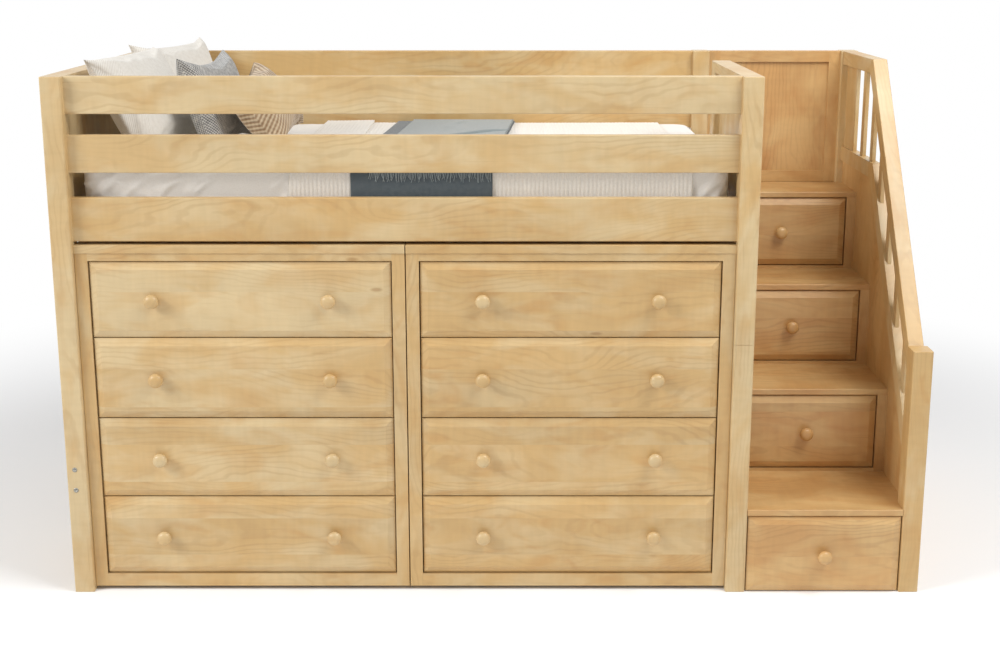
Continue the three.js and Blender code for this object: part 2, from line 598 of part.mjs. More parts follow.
/** Each step: a tread, and from the second on a stile and a sill that frame its drawer. */
function addSteps() {
  for (let i = 0; i < stepCount; i++) {
    const last = i === stepCount - 1;
    const back = last ? stairBackY : stepFronts[i + 1] + STEP_FRAME_THICKNESS;
    const treadZ = [stepTops[i] - TREAD_THICKNESS, stepTops[i]];
    const tread = easedBar([stairX[0], panelX[0]], [stepFronts[i], back], treadZ, "x", TREAD_EASE);
    const parts = [tread];
    if (i > 0) {
      const frameY = [stepFronts[i], stepFronts[i] + STEP_FRAME_THICKNESS];
      const stileX = [stepOpenX[1], panelX[0]];
      parts.push(block(stileX, frameY, [stepFloor(i), treadZ[1] - TREAD_THICKNESS / 2]));
      parts.push(block([stairX[0], panelX[0]], frameY, [stepFloor(i), stepFloor(i) + STEP_SILL_HEIGHT]));
    }
    const notchZ = grown(treadZ, OVERLAP);
    const notches = [
      block(newelX, [frontPostY[0] - OVERLAP, frontPostY[1]], notchZ),
      block(newelX, [backPostY[0], backPostY[1]], notchZ),
    ];
    addPiece(`stair_step_${i + 1}`, cut(joined(parts), notches), maple);
    const frontX = [stairX[0] + FRONT_GAP, (i === 0 ? stairX[1] : stepOpenX[1]) - FRONT_GAP];
    const knobXs = [(stairX[0] + stairX[1]) / 2];
    const name = `stair_drawer_${i + 1}`;
    addDrawer(name, frontX, stepFronts[i], stepFrontZ(i), stairBoxX, stairBoxDepths[i], knobXs);
  }
}

/** The framed guard panel behind the top step, and the plain back below it. */
function addStairBack() {
  const y = [stairBackY, stairBackY + GUARD_THICKNESS];
  const z = [stepTops[stepCount - 1], BED_HEIGHT];
  const fieldX = [stairX[0] + GUARD_STILE, stairX[1] - GUARD_STILE];
  const fieldZ = [z[0] + GUARD_STILE, z[1] - GUARD_STILE];
  const fieldY = [y[0] + GUARD_FIELD_RECESS, y[0] + GUARD_FIELD_RECESS + GUARD_FIELD_THICKNESS];
  const pocket = block(fieldX, [y[0] - OVERLAP, fieldY[0]], fieldZ);
  const backPocket = block(fieldX, [fieldY[1], y[1] + OVERLAP], fieldZ);
  const frame = easedBar(stairX, y, z, "x", EDGE_EASE);
  addPiece("stair_guard_panel", cut(frame, [pocket, backPocket]), maple);
  const back = block(stairX, [stairBackY, stairBackY + STAIR_BACK_THICKNESS], [0, z[0]]);
  addPiece("stair_back_panel", back, mapleDark);
}

// Bedding
const mattressX = grown(insideX, -MATTRESS_END_GAP);
const mattressY = grown([frontRailY[1], backRailY[0]], -MATTRESS_SIDE_GAP);
const mattressTop = slatTop + MATTRESS_THICKNESS;
const quiltX = [mattressX[0] + QUILT_HEAD_GAP, mattressX[1] - QUILT_FOOT_GAP];
const throwX = [quiltX[0] + THROW_FROM_QUILT, quiltX[0] + THROW_FROM_QUILT + THROW_WIDTH];

/** The mattress, with round corners and eased edges. */
function addMattress() {
  const plan = roundedRectangle(mattressX, mattressY, MATTRESS_CORNER);
  const z = [slatTop, mattressTop];
  addPiece("mattress", prism(plan, "z", z[0], z[1], MATTRESS_EASE, 5), sheetCotton);
}

/** The section of a cover that lies over the mattress and hangs down its front and back. */
function coverSection(inner, thickness, frontDrop, backDrop) {
  const outer = inner + thickness;
  const top = mattressTop + outer;
  const [front, back] = [mattressY[0] - outer, mattressY[1] + outer];
  const [outerRadius, innerRadius] = [SIDE_ROUNDING + outer, SIDE_ROUNDING + inner];
  const [cornerFront, cornerBack] = [mattressY[0] + SIDE_ROUNDING, mattressY[1] - SIDE_ROUNDING];
  const cornerZ = mattressTop - SIDE_ROUNDING;
  const shape = new THREE.Shape();
  shape.moveTo(front, top - frontDrop);
  shape.lineTo(front + thickness, top - frontDrop);
  shape.lineTo(front + thickness, cornerZ);
  shape.absarc(cornerFront, cornerZ, innerRadius, TURN / 2, TURN / 4, true);
  shape.lineTo(cornerBack, mattressTop + inner);
  shape.absarc(cornerBack, cornerZ, innerRadius, TURN / 4, 0, true);
  shape.lineTo(back - thickness, top - backDrop);
  shape.lineTo(back, top - backDrop);
  shape.lineTo(back, cornerZ);
  shape.absarc(cornerBack, cornerZ, outerRadius, 0, TURN / 4);
  shape.lineTo(cornerFront, top);
  shape.absarc(cornerFront, cornerZ, outerRadius, TURN / 4, TURN / 2);
  shape.lineTo(front, top - frontDrop);
  return shape;
}

/** The quilt with its turned-down band, and the throw laid across it. */
function addCovers() {
  const section = coverSection(SOFT_GAP, QUILT_THICKNESS, QUILT_DROP, QUILT_BACK_DROP);
  const quilt = prism(section, "x", ...quiltX, 0, 4);
  const quiltTop = mattressTop + SOFT_GAP + QUILT_THICKNESS;
  const bandY = [mattressY[0] + SIDE_ROUNDING, mattressY[1] - SIDE_ROUNDING];
  const bandX = [quiltX[0], quiltX[0] + FOLD_WIDTH];
  const bandZ = [quiltTop - OVERLAP, quiltTop + FOLD_THICKNESS];
  const band = easedBar(bandX, bandY, bandZ, "y", FOLD_THICKNESS / 2);
  addPiece("quilt", joined([quilt, band]), quiltCotton);
  const throwInner = 2 * SOFT_GAP + QUILT_THICKNESS;
  const throwSection = coverSection(throwInner, THROW_THICKNESS, QUILT_DROP, QUILT_BACK_DROP);
  const laid = prism(throwSection, "x", ...throwX, 0, 4);
  const throwTop = mattressTop + throwInner + THROW_THICKNESS;
  const layerX = [throwX[0] + THROW_EDGE, throwX[1] - THROW_LAYER];
  const layerZ = [throwTop - OVERLAP, throwTop + THROW_LAYER];
  const layer = easedBar(layerX, bandY, layerZ, "y", THROW_LAYER / 2);
  addPiece("throw", joined([laid, layer]), slateWool);
}

/** A pillow: crowned, with drawn-in sides and pointed corners. It stands in x with its face to +x. */
function pillow(width, height, thickness) {
  const positions = [];
  const corner = (i, j, side) => {
    const u = Math.sin((i / PILLOW_COLUMNS - 0.5) * (TURN / 2));
    const v = Math.sin((j / PILLOW_ROWS - 0.5) * (TURN / 2));
    const swell = Math.pow(Math.max(0, (1 - u * u) * (1 - v * v)), PILLOW_CROWN);
    return [
      (side * thickness * swell) / 2,
      (width / 2) * u * (1 - PILLOW_DRAW_IN * (1 - v * v)),
      (height / 2) * v * (1 - PILLOW_DRAW_IN * (1 - u * u)),
    ];
  };
  for (let i = 0; i < PILLOW_COLUMNS; i++) {
    for (let j = 0; j < PILLOW_ROWS; j++) {
      for (const side of [1, -1]) {
        const [a, b] = [corner(i, j, side), corner(i + 1, j, side)];
        const [c, d] = [corner(i + 1, j + 1, side), corner(i, j + 1, side)];
        const faces = side > 0 ? [a, b, c, a, c, d] : [a, c, b, a, d, c];
        positions.push(...faces.flat());
      }
    }
  }
  const geometry = new THREE.BufferGeometry();
  geometry.setAttribute("position", new THREE.BufferAttribute(new Float32Array(positions), 3));
  return geometry;
}

const PILLOWS = [
  { name: "pillow_cream_back", cloth: creamLinen, roll: 0, lean: 22, yaw: -18 },
  { name: "pillow_cream_front", cloth: creamLinen, roll: 0, lean: 27, yaw: -7 },
  { name: "pillow_charcoal", cloth: charcoalWeave, roll: 0, lean: 19, yaw: -8 },
  { name: "pillow_tan", cloth: tanWeave, roll: 6, lean: 37, yaw: -4 },
];

/** The pillows, leaning towards the left end and resting on the mattress. */
function addPillows() {
  const backEdges = PILLOW_BACK_INSETS.map((inset) => mattressY[1] - inset);
  const frontEdges = [
    backEdges[0] - BACK_PILLOW_WIDTH,
    ...PILLOW_FRONT_INSETS.map((inset) => mattressY[0] + inset),
  ];
  PILLOWS.forEach(({ name, cloth, roll, lean, yaw }, i) => {
    const geometry = pillow(backEdges[i] - frontEdges[i], PILLOW_HEIGHTS[i], PILLOW_THICKNESSES[i]);
    geometry.rotateX(THREE.MathUtils.degToRad(roll));
    geometry.rotateY(-THREE.MathUtils.degToRad(lean));
    geometry.rotateZ(THREE.MathUtils.degToRad(yaw));
    geometry.computeBoundingBox();
    const rise = mattressTop + SOFT_GAP - geometry.boundingBox.min.z;
    geometry.translate(mattressX[0] + PILLOW_HEAD_INSETS[i], (frontEdges[i] + backEdges[i]) / 2, rise);
    addPiece(name, geometry, cloth);
  });
}

addPosts();
addRails();
addEnds();
addSlatDeck();
addDresser("left", [insideX[0] + DRESSER_POST_GAP, bedCentreX - DRESSER_MIDDLE_GAP / 2]);
addDresser("right", [bedCentreX + DRESSER_MIDDLE_GAP / 2, insideX[1] - DRESSER_POST_GAP]);
addStairRailing();
addStairSides();
addSteps();
addStairBack();
addMattress();
addCovers();
addPillows();

// The origin: the middle of the footprint, on the floor
const box = new THREE.Box3().setFromObject(bed);
const middle = box.getCenter(new THREE.Vector3());
bed.position.set(-onGrid(middle.x), -onGrid(middle.y), -onGrid(box.min.z));

export default bed;
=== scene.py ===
"""Finishes a maple loft bed with two dressers and a drawer staircase: lacquered wood, raised
drawer fronts with turned knobs, and its bedding. Metres, +Z up, and the front faces -Y."""
import json
import math
import random

import bpy
import numpy as np
from bpy.props import FloatProperty, FloatVectorProperty, PointerProperty
from mathutils import Matrix, Vector, noise
from mathutils.bvhtree import BVHTree

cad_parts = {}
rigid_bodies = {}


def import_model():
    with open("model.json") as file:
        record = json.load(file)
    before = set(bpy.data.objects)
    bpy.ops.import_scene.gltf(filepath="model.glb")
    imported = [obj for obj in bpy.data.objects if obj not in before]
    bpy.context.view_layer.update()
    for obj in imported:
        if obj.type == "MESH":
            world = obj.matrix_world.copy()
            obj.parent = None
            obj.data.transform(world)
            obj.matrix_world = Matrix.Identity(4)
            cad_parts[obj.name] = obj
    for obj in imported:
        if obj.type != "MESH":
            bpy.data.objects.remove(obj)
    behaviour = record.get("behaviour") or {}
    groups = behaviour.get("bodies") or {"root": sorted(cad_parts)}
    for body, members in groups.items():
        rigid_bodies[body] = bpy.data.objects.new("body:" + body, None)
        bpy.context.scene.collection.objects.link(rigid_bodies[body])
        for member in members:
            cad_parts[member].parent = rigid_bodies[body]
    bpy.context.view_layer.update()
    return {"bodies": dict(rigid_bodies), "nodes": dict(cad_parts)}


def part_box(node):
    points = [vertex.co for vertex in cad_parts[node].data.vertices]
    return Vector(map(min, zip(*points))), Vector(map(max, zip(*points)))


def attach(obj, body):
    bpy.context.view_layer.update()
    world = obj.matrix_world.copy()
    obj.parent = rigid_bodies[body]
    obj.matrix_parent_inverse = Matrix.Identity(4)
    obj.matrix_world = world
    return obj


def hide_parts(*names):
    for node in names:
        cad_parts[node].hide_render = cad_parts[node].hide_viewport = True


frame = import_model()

bl_info = {
    "name": "Loft bed with storage",
    "version": (1, 0, 0),
    "blender": (4, 5, 0),
    "location": "3D View > Sidebar > Loft bed",
    "description": "Finishes a maple loft bed with dressers, a drawer staircase and bedding",
    "category": "Object",
}

MM = 0.001

# Grain directions
ALONG = (1, 0, 0)
BACKWARD = (0, 1, 0)
UP = (0, 0, 1)

# Places that several pieces share, from the frame
RAIL_INSIDE_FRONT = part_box("rail_front_side")[1].y
RAIL_INSIDE_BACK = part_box("rail_back_side")[0].y
STAIR_MIDDLE = (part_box("post_front_right")[1].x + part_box("stair_newel")[0].x) / 2
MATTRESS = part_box("mattress")


def linear(colour):
    """An sRGB hex value, such as #d0b27f, as linear red, green, blue and alpha."""
    channels = [int(colour[i : i + 2], 16) / 255 for i in (1, 3, 5)]
    return (*[c / 12.92 if c <= 0.04045 else ((c + 0.055) / 1.055) ** 2.4 for c in channels], 1.0)


def colour_property(name, description, colour):
    """A colour that a user can set, from its sRGB hex value."""
    shown = {"name": name, "description": description, "subtype": "COLOR"}
    return FloatVectorProperty(**shown, size=3, min=0, max=1, default=linear(colour)[:3])


def length_property(name, description, millimetres):
    """A length that a user can set."""
    shown = {"name": name, "description": description, "subtype": "DISTANCE", "unit": "LENGTH"}
    return FloatProperty(**shown, default=millimetres * MM, precision=4)


class LoftBedWood(bpy.types.PropertyGroup):
    """The maple and its lacquer, with the stairs' colours painted darker and warmer as the stairwell's shade
    """

    pale: colour_property("Pale wood", "The palest parts of the maple", "#cdb68b")
    middle: colour_property("Honey wood", "The maple's clouds and most of its face", "#c5a36d")
    amber: colour_property("Amber patches", "The warm patches in the figure", "#bb8d50")
    ring: colour_property("Ring lines", "Late wood, flecks and knots", "#9a7342")
    # Painted shade: the stairs are the same maple, drawn in darker, warmer colours for the shade and the warm
    # bounced light of the stairwell
    stair_pale: colour_property("Pale wood of the stairs", "The palest parts of the stairs", "#cdaa74")
    stair_middle: colour_property("Honey wood of the stairs", "Most of the stairs' face", "#c0945c")
    stair_amber: colour_property("Amber patches of the stairs", "Warm patches of the stairs", "#b37d43")
    stair_ring: colour_property("Ring lines of the stairs", "Late wood of the stairs", "#8c6034")
    ring_spacing: length_property("Ring spacing", "From one ring line to the next", 9)
    bevel: length_property("Bevel width", "The bevel round a drawer front's raised field", 22)
    board: length_property("Board width", "The edge-glued boards of the drawer fronts", 118)


class LoftBedBedding(bpy.types.PropertyGroup):
    """The mattress, covers and pillows"""

    sheet: colour_property("Sheet", "White cotton sheet", "#fcfaf6")
    quilt: colour_property("Quilt", "Off-white quilted cotton", "#faf6ef")
    throw: colour_property("Throw", "Slate wool", "#626b70")
    throw_dark: colour_property("Throw's dark yarn", "The darker yarn of the throw", "#3f4a50")
    # Partly painted light: the upper layer's paler colour is its brushed side and also the light that falls
    # on the throw's top
    throw_top_lit: colour_property("Throw's brushed side", "The paler side of the throw's upper layer", "#87918f")
    cream: colour_property("Cream linen", "The two large pillows", "#f1ede5")
    charcoal: colour_property("Charcoal weave", "The dark pillow", "#46474a")
    tan: colour_property("Tan weave", "The brown pillow", "#8a6c4c")
    rib_pitch: length_property("Quilt rib pitch", "From one rib of the quilt to the next", 12)
    rib_height: length_property("Quilt rib height", "How high a rib stands above its stitching", 2.2)
    # Partly the yarn's pale ends and partly painted light: the fringe is drawn paler so that it shows in the
    # shadow under the rail
    lit_fringe_wool: colour_property("Fringe", "The pale ends of the upper layer's yarn", "#b4bec2")
    fringe: length_property("Fringe length", "The fringe on the throw's upper layer", 33)


class LoftBedStage(bpy.types.PropertyGroup):
    """The floor, the lamps and the camera"""

    floor: colour_property("Floor", "Pale studio floor", "#f9fafb")
    sky: FloatProperty(name="Ambient light", description="Strength of the light from all round", default=0.43)
    key: FloatProperty(name="Key lamp", description="Power of the left lamp", subtype="POWER", default=225)
    fill: FloatProperty(name="Top lamp", description="Power of the upper lamp", subtype="POWER", default=150)
    lens: FloatProperty(name="Lens", description="Focal length", subtype="DISTANCE_CAMERA", default=48.5)


def join(tree, node, inputs):
    """Gives a node its inputs. Each is a value, or the output that links to it."""
    for key, value in inputs.items():
        if isinstance(value, bpy.types.NodeSocket):
            tree.links.new(value, node.inputs[key])
        else:
            node.inputs[key].default_value = value


def add(tree, kind, inputs, out=0, **settings):
    """Adds a shader node with its settings and inputs, and returns one of its outputs."""
    node = tree.nodes.new("ShaderNode" + kind)
    for key, value in settings.items():
        setattr(node, key, value)
    join(tree, node, inputs)
    return node.outputs[out]


def new_material(name):
    """A material with its node tree, its shader and its Object coordinates."""
    material = bpy.data.materials.new(name)
    material.use_nodes = True
    tree = material.node_tree
    return material, tree, tree.nodes["Principled BSDF"], add(tree, "TexCoord", {}, "Object")


def colour(value):
    """A PropertyGroup's colour with alpha."""
    return (*value, 1.0)


def board_place(tree, place, direction, draw):
    """Coordinates in a board, with x along its grain, and a random part of the tree for each board."""
    inputs = {
        "Vector": place,
        "Location": [draw.uniform(-9, 9) for _ in range(3)],
        "Rotation": Vector(direction).to_track_quat("X", "Z").to_euler(),
    }
    return add(tree, "Mapping", inputs, vector_type="TEXTURE")


def zone_test(tree, place, lowest, highest):
    """1 inside a box, 0 outside. A corner's None leaves that axis open."""
    inside = 1.0
    for axis in range(3):
        if lowest[axis] is not None:
            middle, half = (lowest[axis] + highest[axis]) / 2, (highest[axis] - lowest[axis]) / 2
            value = add(tree, "SeparateXYZ", {0: place}, axis)
            test = add(tree, "Math", {0: value, 1: middle, 2: half}, operation="COMPARE")
            inside = add(tree, "Math", {0: test, 1: inside}, operation="MULTIPLY")
    return inside


def stretched_noise(tree, place, along, across, detail=2, distortion=0):
    """Noise in a board: along and across say how many times it changes in a metre."""
    scaled = add(tree, "VectorMath", {0: place, 1: (along, across, across)}, operation="MULTIPLY")
    inputs = {"Vector": scaled, "Scale": 1, "Detail": detail, "Roughness": 0.5, "Distortion": distortion}
    return add(tree, "TexNoise", inputs)


# How far a piece's wood goes from pale sapwood to honey heartwood; the others are between. Partly the maple's
# own tone from piece to piece and partly painted light and shade: the right dresser's drawers, the handrail
# and the newel are drawn darker for less light, and the left post, the top left drawer and the stairs' right
# side paler for more
RICHNESS_AND_PAINTED_LIGHT = {
    "rail_front_top": 0.25,
    "rail_front_middle": 0.25,
    "rail_front_side": 0.55,
    "rail_back_top": 0.8,
    "rail_back_middle": 0.8,
    "rail_back_side": 0.8,
    "post_front_left": 0.2,
    "stair_handrail": 0.8,
    "stair_newel": 0.75,
    "stair_side_right": 0.2,
    "dresser_left_drawer_1": 0.2,
    "dresser_left_drawer_4": 0.6,
    "dresser_right_drawer_1": 0.75,
    "dresser_right_drawer_2": 0.8,
    "dresser_right_drawer_3": 0.85,
    "dresser_right_drawer_4": 0.9,
    "dresser_left_case": 0.8,
    "dresser_right_case": 0.8,
}

# The patterns in maple: how many times each changes in a metre along the grain and across it, its
# detail and its distortion. Fibres are about 0.1 mm wide, and are drawn near 1 mm wide, so that they show.
WOOD_PATTERNS = {
    "arcs": (0.9, 3.2, 0, 0),
    "waves": (3.4, 9, 0, 0),
    "wobble": (17, 34, 1, 0),
    "rings": (2.6, 8, 2, 0),
    "clouds": (4, 9, 3, 0.6),
    "patches": (5, 13, 2, 1.2),
    "fibres": (12, 700, 2, 0),
    "streaks": (5, 150, 2, 0),
    "curl": (60, 11, 1, 0),
    "shade": (3, 7, 2, 0),
}
RING_BENDS = {"arcs": 18, "waves": 5, "wobble": 0.9, "knots": 1}  # in ring spacings
SLANT = (0, 0.32, 0.44)  # how steeply a flat-sawn board cuts the rings
KNOTS = (2.4, 7, 7)  # knots in a metre, along the grain and across it
DARKEST = 0.745  # the wood's least lightness; the parts below are added to it
LIGHTNESS_PARTS = {"fibres": 0.1, "curl": 0.12, "shade": 0.24, "boards": 0.08}
BOARD_STEP = (5, 5, 5)  # how far apart in the tree neighbouring boards are cut
EASED = {"interpolation_type": "SMOOTHSTEP"}


def maple(name, look, grain, stairs=False, zones=(), boards=False, figure=1.0):
    """Hard maple, planed, sanded and lacquered: pale honey wood with fine wavy ring lines in arcs, soft
    cloudy patches, faint cross curl, a few pin knots, and a satin coat that gives wide soft highlights.
    A zone is a box with its own grain direction. boards draws edge-glued boards, one above the other,
    and figure says how strongly the rings show."""
    material, tree, shader, place = new_material(name)
    draw = random.Random(name)
    wood = board_place(tree, place, grain, draw)
    for lowest, highest, direction in zones:
        inside = zone_test(tree, place, lowest, highest)
        other = board_place(tree, place, direction, draw)
        wood = add(tree, "Mix", {0: inside, 4: wood, 5: other}, 1, data_type="VECTOR")
    board_tone = 0.5
    if boards:
        height = add(tree, "SeparateXYZ", {0: place}, 2)
        count = add(tree, "Math", {0: height, 1: look.board}, operation="DIVIDE")
        number = add(tree, "Math", {0: count}, operation="FLOOR")
        board = add(tree, "TexWhiteNoise", {"W": number}, "Color", noise_dimensions="1D")
        wood = add(tree, "VectorMath", {0: board, 1: BOARD_STEP, 2: wood}, operation="MULTIPLY_ADD")
        board_tone = board.node.outputs["Value"]
    keys = ("pale", "middle", "amber", "ring")
    # stairs picks the stairs' colours, which paint the stairwell's shade into the wood
    pale, middle, amber, ring = [colour(getattr(look, f"stair_{key}" if stairs else key)) for key in keys]
    pattern = {key: stretched_noise(tree, wood, *facts) for key, facts in WOOD_PATTERNS.items()}
    pattern["boards"] = board_tone
    knot_place = add(tree, "VectorMath", {0: wood, 1: KNOTS}, operation="MULTIPLY")
    knots = add(tree, "TexVoronoi", {"Vector": knot_place, "Scale": 1, "Randomness": 1}, "Distance")

    # Each layer eases a pattern from one value to another: where it starts and ends, and the two values
    # Painted light and shade: the richness table makes some pieces darker and others paler for how the light
    # falls on them, and a random tone is added
    rich_and_painted_light = RICHNESS_AND_PAINTED_LIGHT.get(name.removeprefix("maple_"), 0.5) + draw.uniform(-0.06, 0.06)
    layers = {
        "knot_bend": (knots, 0, 0.5, 2.6, 0),
        "knot_core": (knots, 0.02, 0.06, 0.6, 0),
        "rings": (pattern["rings"], 0.36, 0.68, 0.03 * figure, 0.2 * figure),
        "clouds": (pattern["clouds"], 0.32, 0.68, rich_and_painted_light - 0.45, rich_and_painted_light + 0.5),
        "patches": (pattern["patches"], 0.46, 0.78, 0, 0.2 + 0.4 * rich_and_painted_light),
        "streaks": (pattern["streaks"], 0.64, 0.84, 0, 0.28),
        "roughness": (pattern["fibres"], 0, 1, 0.36, 0.5),
    }
    layer = {key: add(tree, "MapRange", dict(enumerate(facts)), **EASED) for key, facts in layers.items()}
    pattern["knots"] = layer["knot_bend"]

    # The board cuts the rings at a slant, and slow bends close them into arcs
    slant = [share / look.ring_spacing for share in SLANT]
    phase = add(tree, "VectorMath", {0: wood, 1: slant}, "Value", operation="DOT_PRODUCT")
    for key, rings in RING_BENDS.items():
        phase = add(tree, "Math", {0: pattern[key], 1: rings, 2: phase}, operation="MULTIPLY_ADD")
    turned = add(tree, "Math", {0: phase, 1: 2 * math.pi}, operation="MULTIPLY")
    wave = add(tree, "Math", {0: turned}, operation="SINE")
    thin = add(tree, "MapRange", {0: wave, 1: 0.1, 2: 1}, **EASED)
    line = add(tree, "Math", {0: thin, 1: layer["rings"]}, operation="MULTIPLY")

    base = pale
    tints = [(layer["clouds"], middle), (layer["patches"], amber)]
    tints += [(factor, ring) for factor in (line, layer["streaks"], layer["knot_core"])]
    for factor, tint in tints:
        base = add(tree, "Mix", {0: factor, 6: base, 7: tint}, 2, data_type="RGBA")
    value = DARKEST
    for key, weight in LIGHTNESS_PARTS.items():
        value = add(tree, "Math", {0: pattern[key], 1: weight, 2: value}, operation="MULTIPLY_ADD")
    base = add(tree, "HueSaturation", {"Value": value, "Color": base})
    bump = add(tree, "Bump", {"Strength": 0.2, "Distance": 0.3 * MM, "Height": pattern["fibres"]})
    lacquer = {"IOR": 1.5, "Coat Weight": 0.2, "Coat Roughness": 0.25}
    join(tree, shader, {"Base Color": base, "Roughness": layer["roughness"], "Normal": bump, **lacquer})
    return material


def birch_plywood(name, direction):
    """Birch plywood, sanded and sealed: pale veneer with faint streaks and a dull sheen."""
    material, tree, shader, place = new_material(name)
    veneer = board_place(tree, place, direction, random.Random(name))
    fibres = stretched_noise(tree, veneer, 8, 220)
    patches = stretched_noise(tree, veneer, 3, 12)
    pale, patch, streak = linear("#e2cda6"), linear("#d6bb8c"), linear("#c7a876")
    base = add(tree, "Mix", {0: patches, 6: pale, 7: patch}, 2, data_type="RGBA")
    amount = add(tree, "MapRange", {0: fibres, 1: 0.45, 2: 0.75, 4: 0.7}, **EASED)
    base = add(tree, "Mix", {0: amount, 6: base, 7: streak}, 2, data_type="RGBA")
    bump = add(tree, "Bump", {"Strength": 0.3, "Distance": 0.4 * MM, "Height": fibres})
    join(tree, shader, {"Base Color": base, "Normal": bump, "Roughness": 0.55})
    return material


def zinc_steel():
    """Zinc-plated steel, stamped: a bright grey metal with a little grain."""
    material, tree, shader, place = new_material("zinc_plated_steel")
    grain = add(tree, "TexNoise", {"Vector": place, "Scale": 900, "Detail": 2})
    rough = add(tree, "MapRange", {0: grain, 3: 0.25, 4: 0.42})
    light, dark = linear("#a9a79f"), linear("#8c8a84")
    base = add(tree, "Mix", {0: grain, 6: light, 7: dark}, 2, data_type="RGBA")
    join(tree, shader, {"Base Color": base, "Roughness": rough, "Metallic": 1.0})
    return material


CLOTH_PLACE = "cloth_place"  # where each point of a pillow is along its own cloth


def woven(name, main, other, pitch, pillow=False, contrast=0.5, depth=0.3, twill=1.0, sheen=0.25, second=1.0):
    """Woven cloth: two yarns that cross at a real pitch, with slubs and soft wear. It gives a matt surface
    with a weave that shows close up. twill leans the pattern into diagonal lines, a pillow's cloth has its
    own places along it, and second is the strength of the crossing yarn."""
    material, tree, shader, place = new_material(name)
    if pillow:
        place = add(tree, "Attribute", {}, "Vector", attribute_name=CLOTH_PLACE)
    wobble = add(tree, "TexNoise", {"Vector": place, "Scale": 0.08 / pitch, "Detail": 2}, "Color")
    moved = add(tree, "VectorMath", {0: wobble, 1: [pitch] * 3, 2: place}, operation="MULTIPLY_ADD")
    across, back, up = [add(tree, "SeparateXYZ", {0: moved}, axis) for axis in range(3)]
    # On a cover, the second yarn follows the cloth over an edge, because height and depth are added
    down = add(tree, "Math", {0: back, 1: up}, operation="ADD")
    waves = []
    for yarn, crossing, side in ((across, down, 1), (down, across, -1)):
        lean = add(tree, "Math", {0: crossing, 1: twill * side, 2: yarn}, operation="MULTIPLY_ADD")
        angle = add(tree, "Math", {0: lean, 1: 2 * math.pi / pitch}, operation="MULTIPLY")
        waves.append(add(tree, "Math", {0: angle}, operation="SINE"))
    weave = add(tree, "Math", {0: waves[1], 1: second, 2: waves[0]}, operation="MULTIPLY_ADD")
    reach = 0.8 * (1 + second)
    height = add(tree, "MapRange", {0: weave, 1: -reach, 2: reach})
    slubs = add(tree, "TexNoise", {"Vector": place, "Scale": 0.5 / pitch, "Detail": 3, "Roughness": 0.6})
    spots = add(tree, "MapRange", {0: slubs, 1: 0.4, 2: 0.75, 4: 0.35 * contrast + 0.08})
    inputs = {0: height, 1: contrast, 2: spots}
    factor = add(tree, "Math", inputs, operation="MULTIPLY_ADD", use_clamp=True)
    base = add(tree, "Mix", {0: factor, 6: main, 7: other}, 2, data_type="RGBA")
    bump = add(tree, "Bump", {"Strength": depth, "Distance": pitch * 0.25, "Height": height})
    fuzz = {"Roughness": 0.88, "Sheen Weight": sheen, "Sheen Roughness": 0.5}
    join(tree, shader, {"Base Color": base, "Normal": bump, **fuzz})
    return material


def in_scene(name, data):
    """A new object in the scene."""
    made = bpy.data.objects.new(name, data)
    bpy.context.scene.collection.objects.link(made)
    return made


def make_object(name, points, faces, material, smooth=True):
    """A mesh object from points and faces, with one material."""
    mesh = bpy.data.meshes.new(name)
    mesh.from_pydata(np.asarray(points, float).reshape(-1, 3).tolist(), [], [list(face) for face in faces])
    mesh.update()
    if material:
        mesh.materials.append(material)
    mesh.polygons.foreach_set("use_smooth", [smooth] * len(mesh.polygons))
    return in_scene(name, mesh)


def belongs(piece, node=None, body="root"):
    """Ties a piece to its body, and hides the node that it replaces."""
    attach(piece, body)
    if node:
        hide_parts(node)


def grid_faces(rows, columns, start=0, flip=False):
    """The quads of a grid of points, row by row."""
    index = start + np.arange(rows * columns).reshape(rows, columns)
    quads = np.stack([index[:-1, :-1], index[:-1, 1:], index[1:, 1:], index[1:, :-1]], -1).reshape(-1, 4)
    return quads[:, ::-1] if flip else quads


def tube_faces(rings, sides, start=0):
    """The faces of a closed tube of rings that follow each other, with its two ends."""
    ring = start + np.arange(rings * sides).reshape(rings, sides)
    after = np.roll(ring, -1, axis=1)
    quads = np.stack([ring[:-1], after[:-1], after[1:], ring[1:]], -1).reshape(-1, 4)
    return [*quads.tolist(), ring[0, ::-1].tolist(), ring[-1].tolist()]


def grid_normals(grid):
    """The unit normal at each point of a grid."""
    normals = np.cross(np.gradient(grid, axis=1), np.gradient(grid, axis=0))
    return normals / np.maximum(np.linalg.norm(normals, axis=2, keepdims=True), 1e-12)


def between(start, end, share):
    """What is the given share of the way from start to end."""
    return start + (end - start) * share


def walked(points):
    """How far each point of a line is from its start, measured along the line."""
    return np.concatenate([[0], np.cumsum(np.linalg.norm(np.diff(points, axis=0), axis=1))])


def resample(grid, rows, columns):
    """A grid of points drawn finer, by smooth curves through its rows and columns."""
    for axis, count in ((0, rows), (1, columns)):
        last = grid.shape[axis] - 1
        at = np.linspace(0, last, count)
        low = np.minimum(at.astype(int), last - 1)
        t = (at - low).reshape([-1 if a == axis else 1 for a in range(3)])
        p0, p1, p2, p3 = [np.take(grid, np.clip(low + step, 0, last), axis=axis) for step in (-1, 0, 1, 2)]
        bend = 2 * p0 - 5 * p1 + 4 * p2 - p3
        twist = 3 * p1 - p0 - 3 * p2 + p3
        grid = 0.5 * (2 * p1 + (p2 - p0) * t + bend * t**2 + twist * t**3)
    return grid


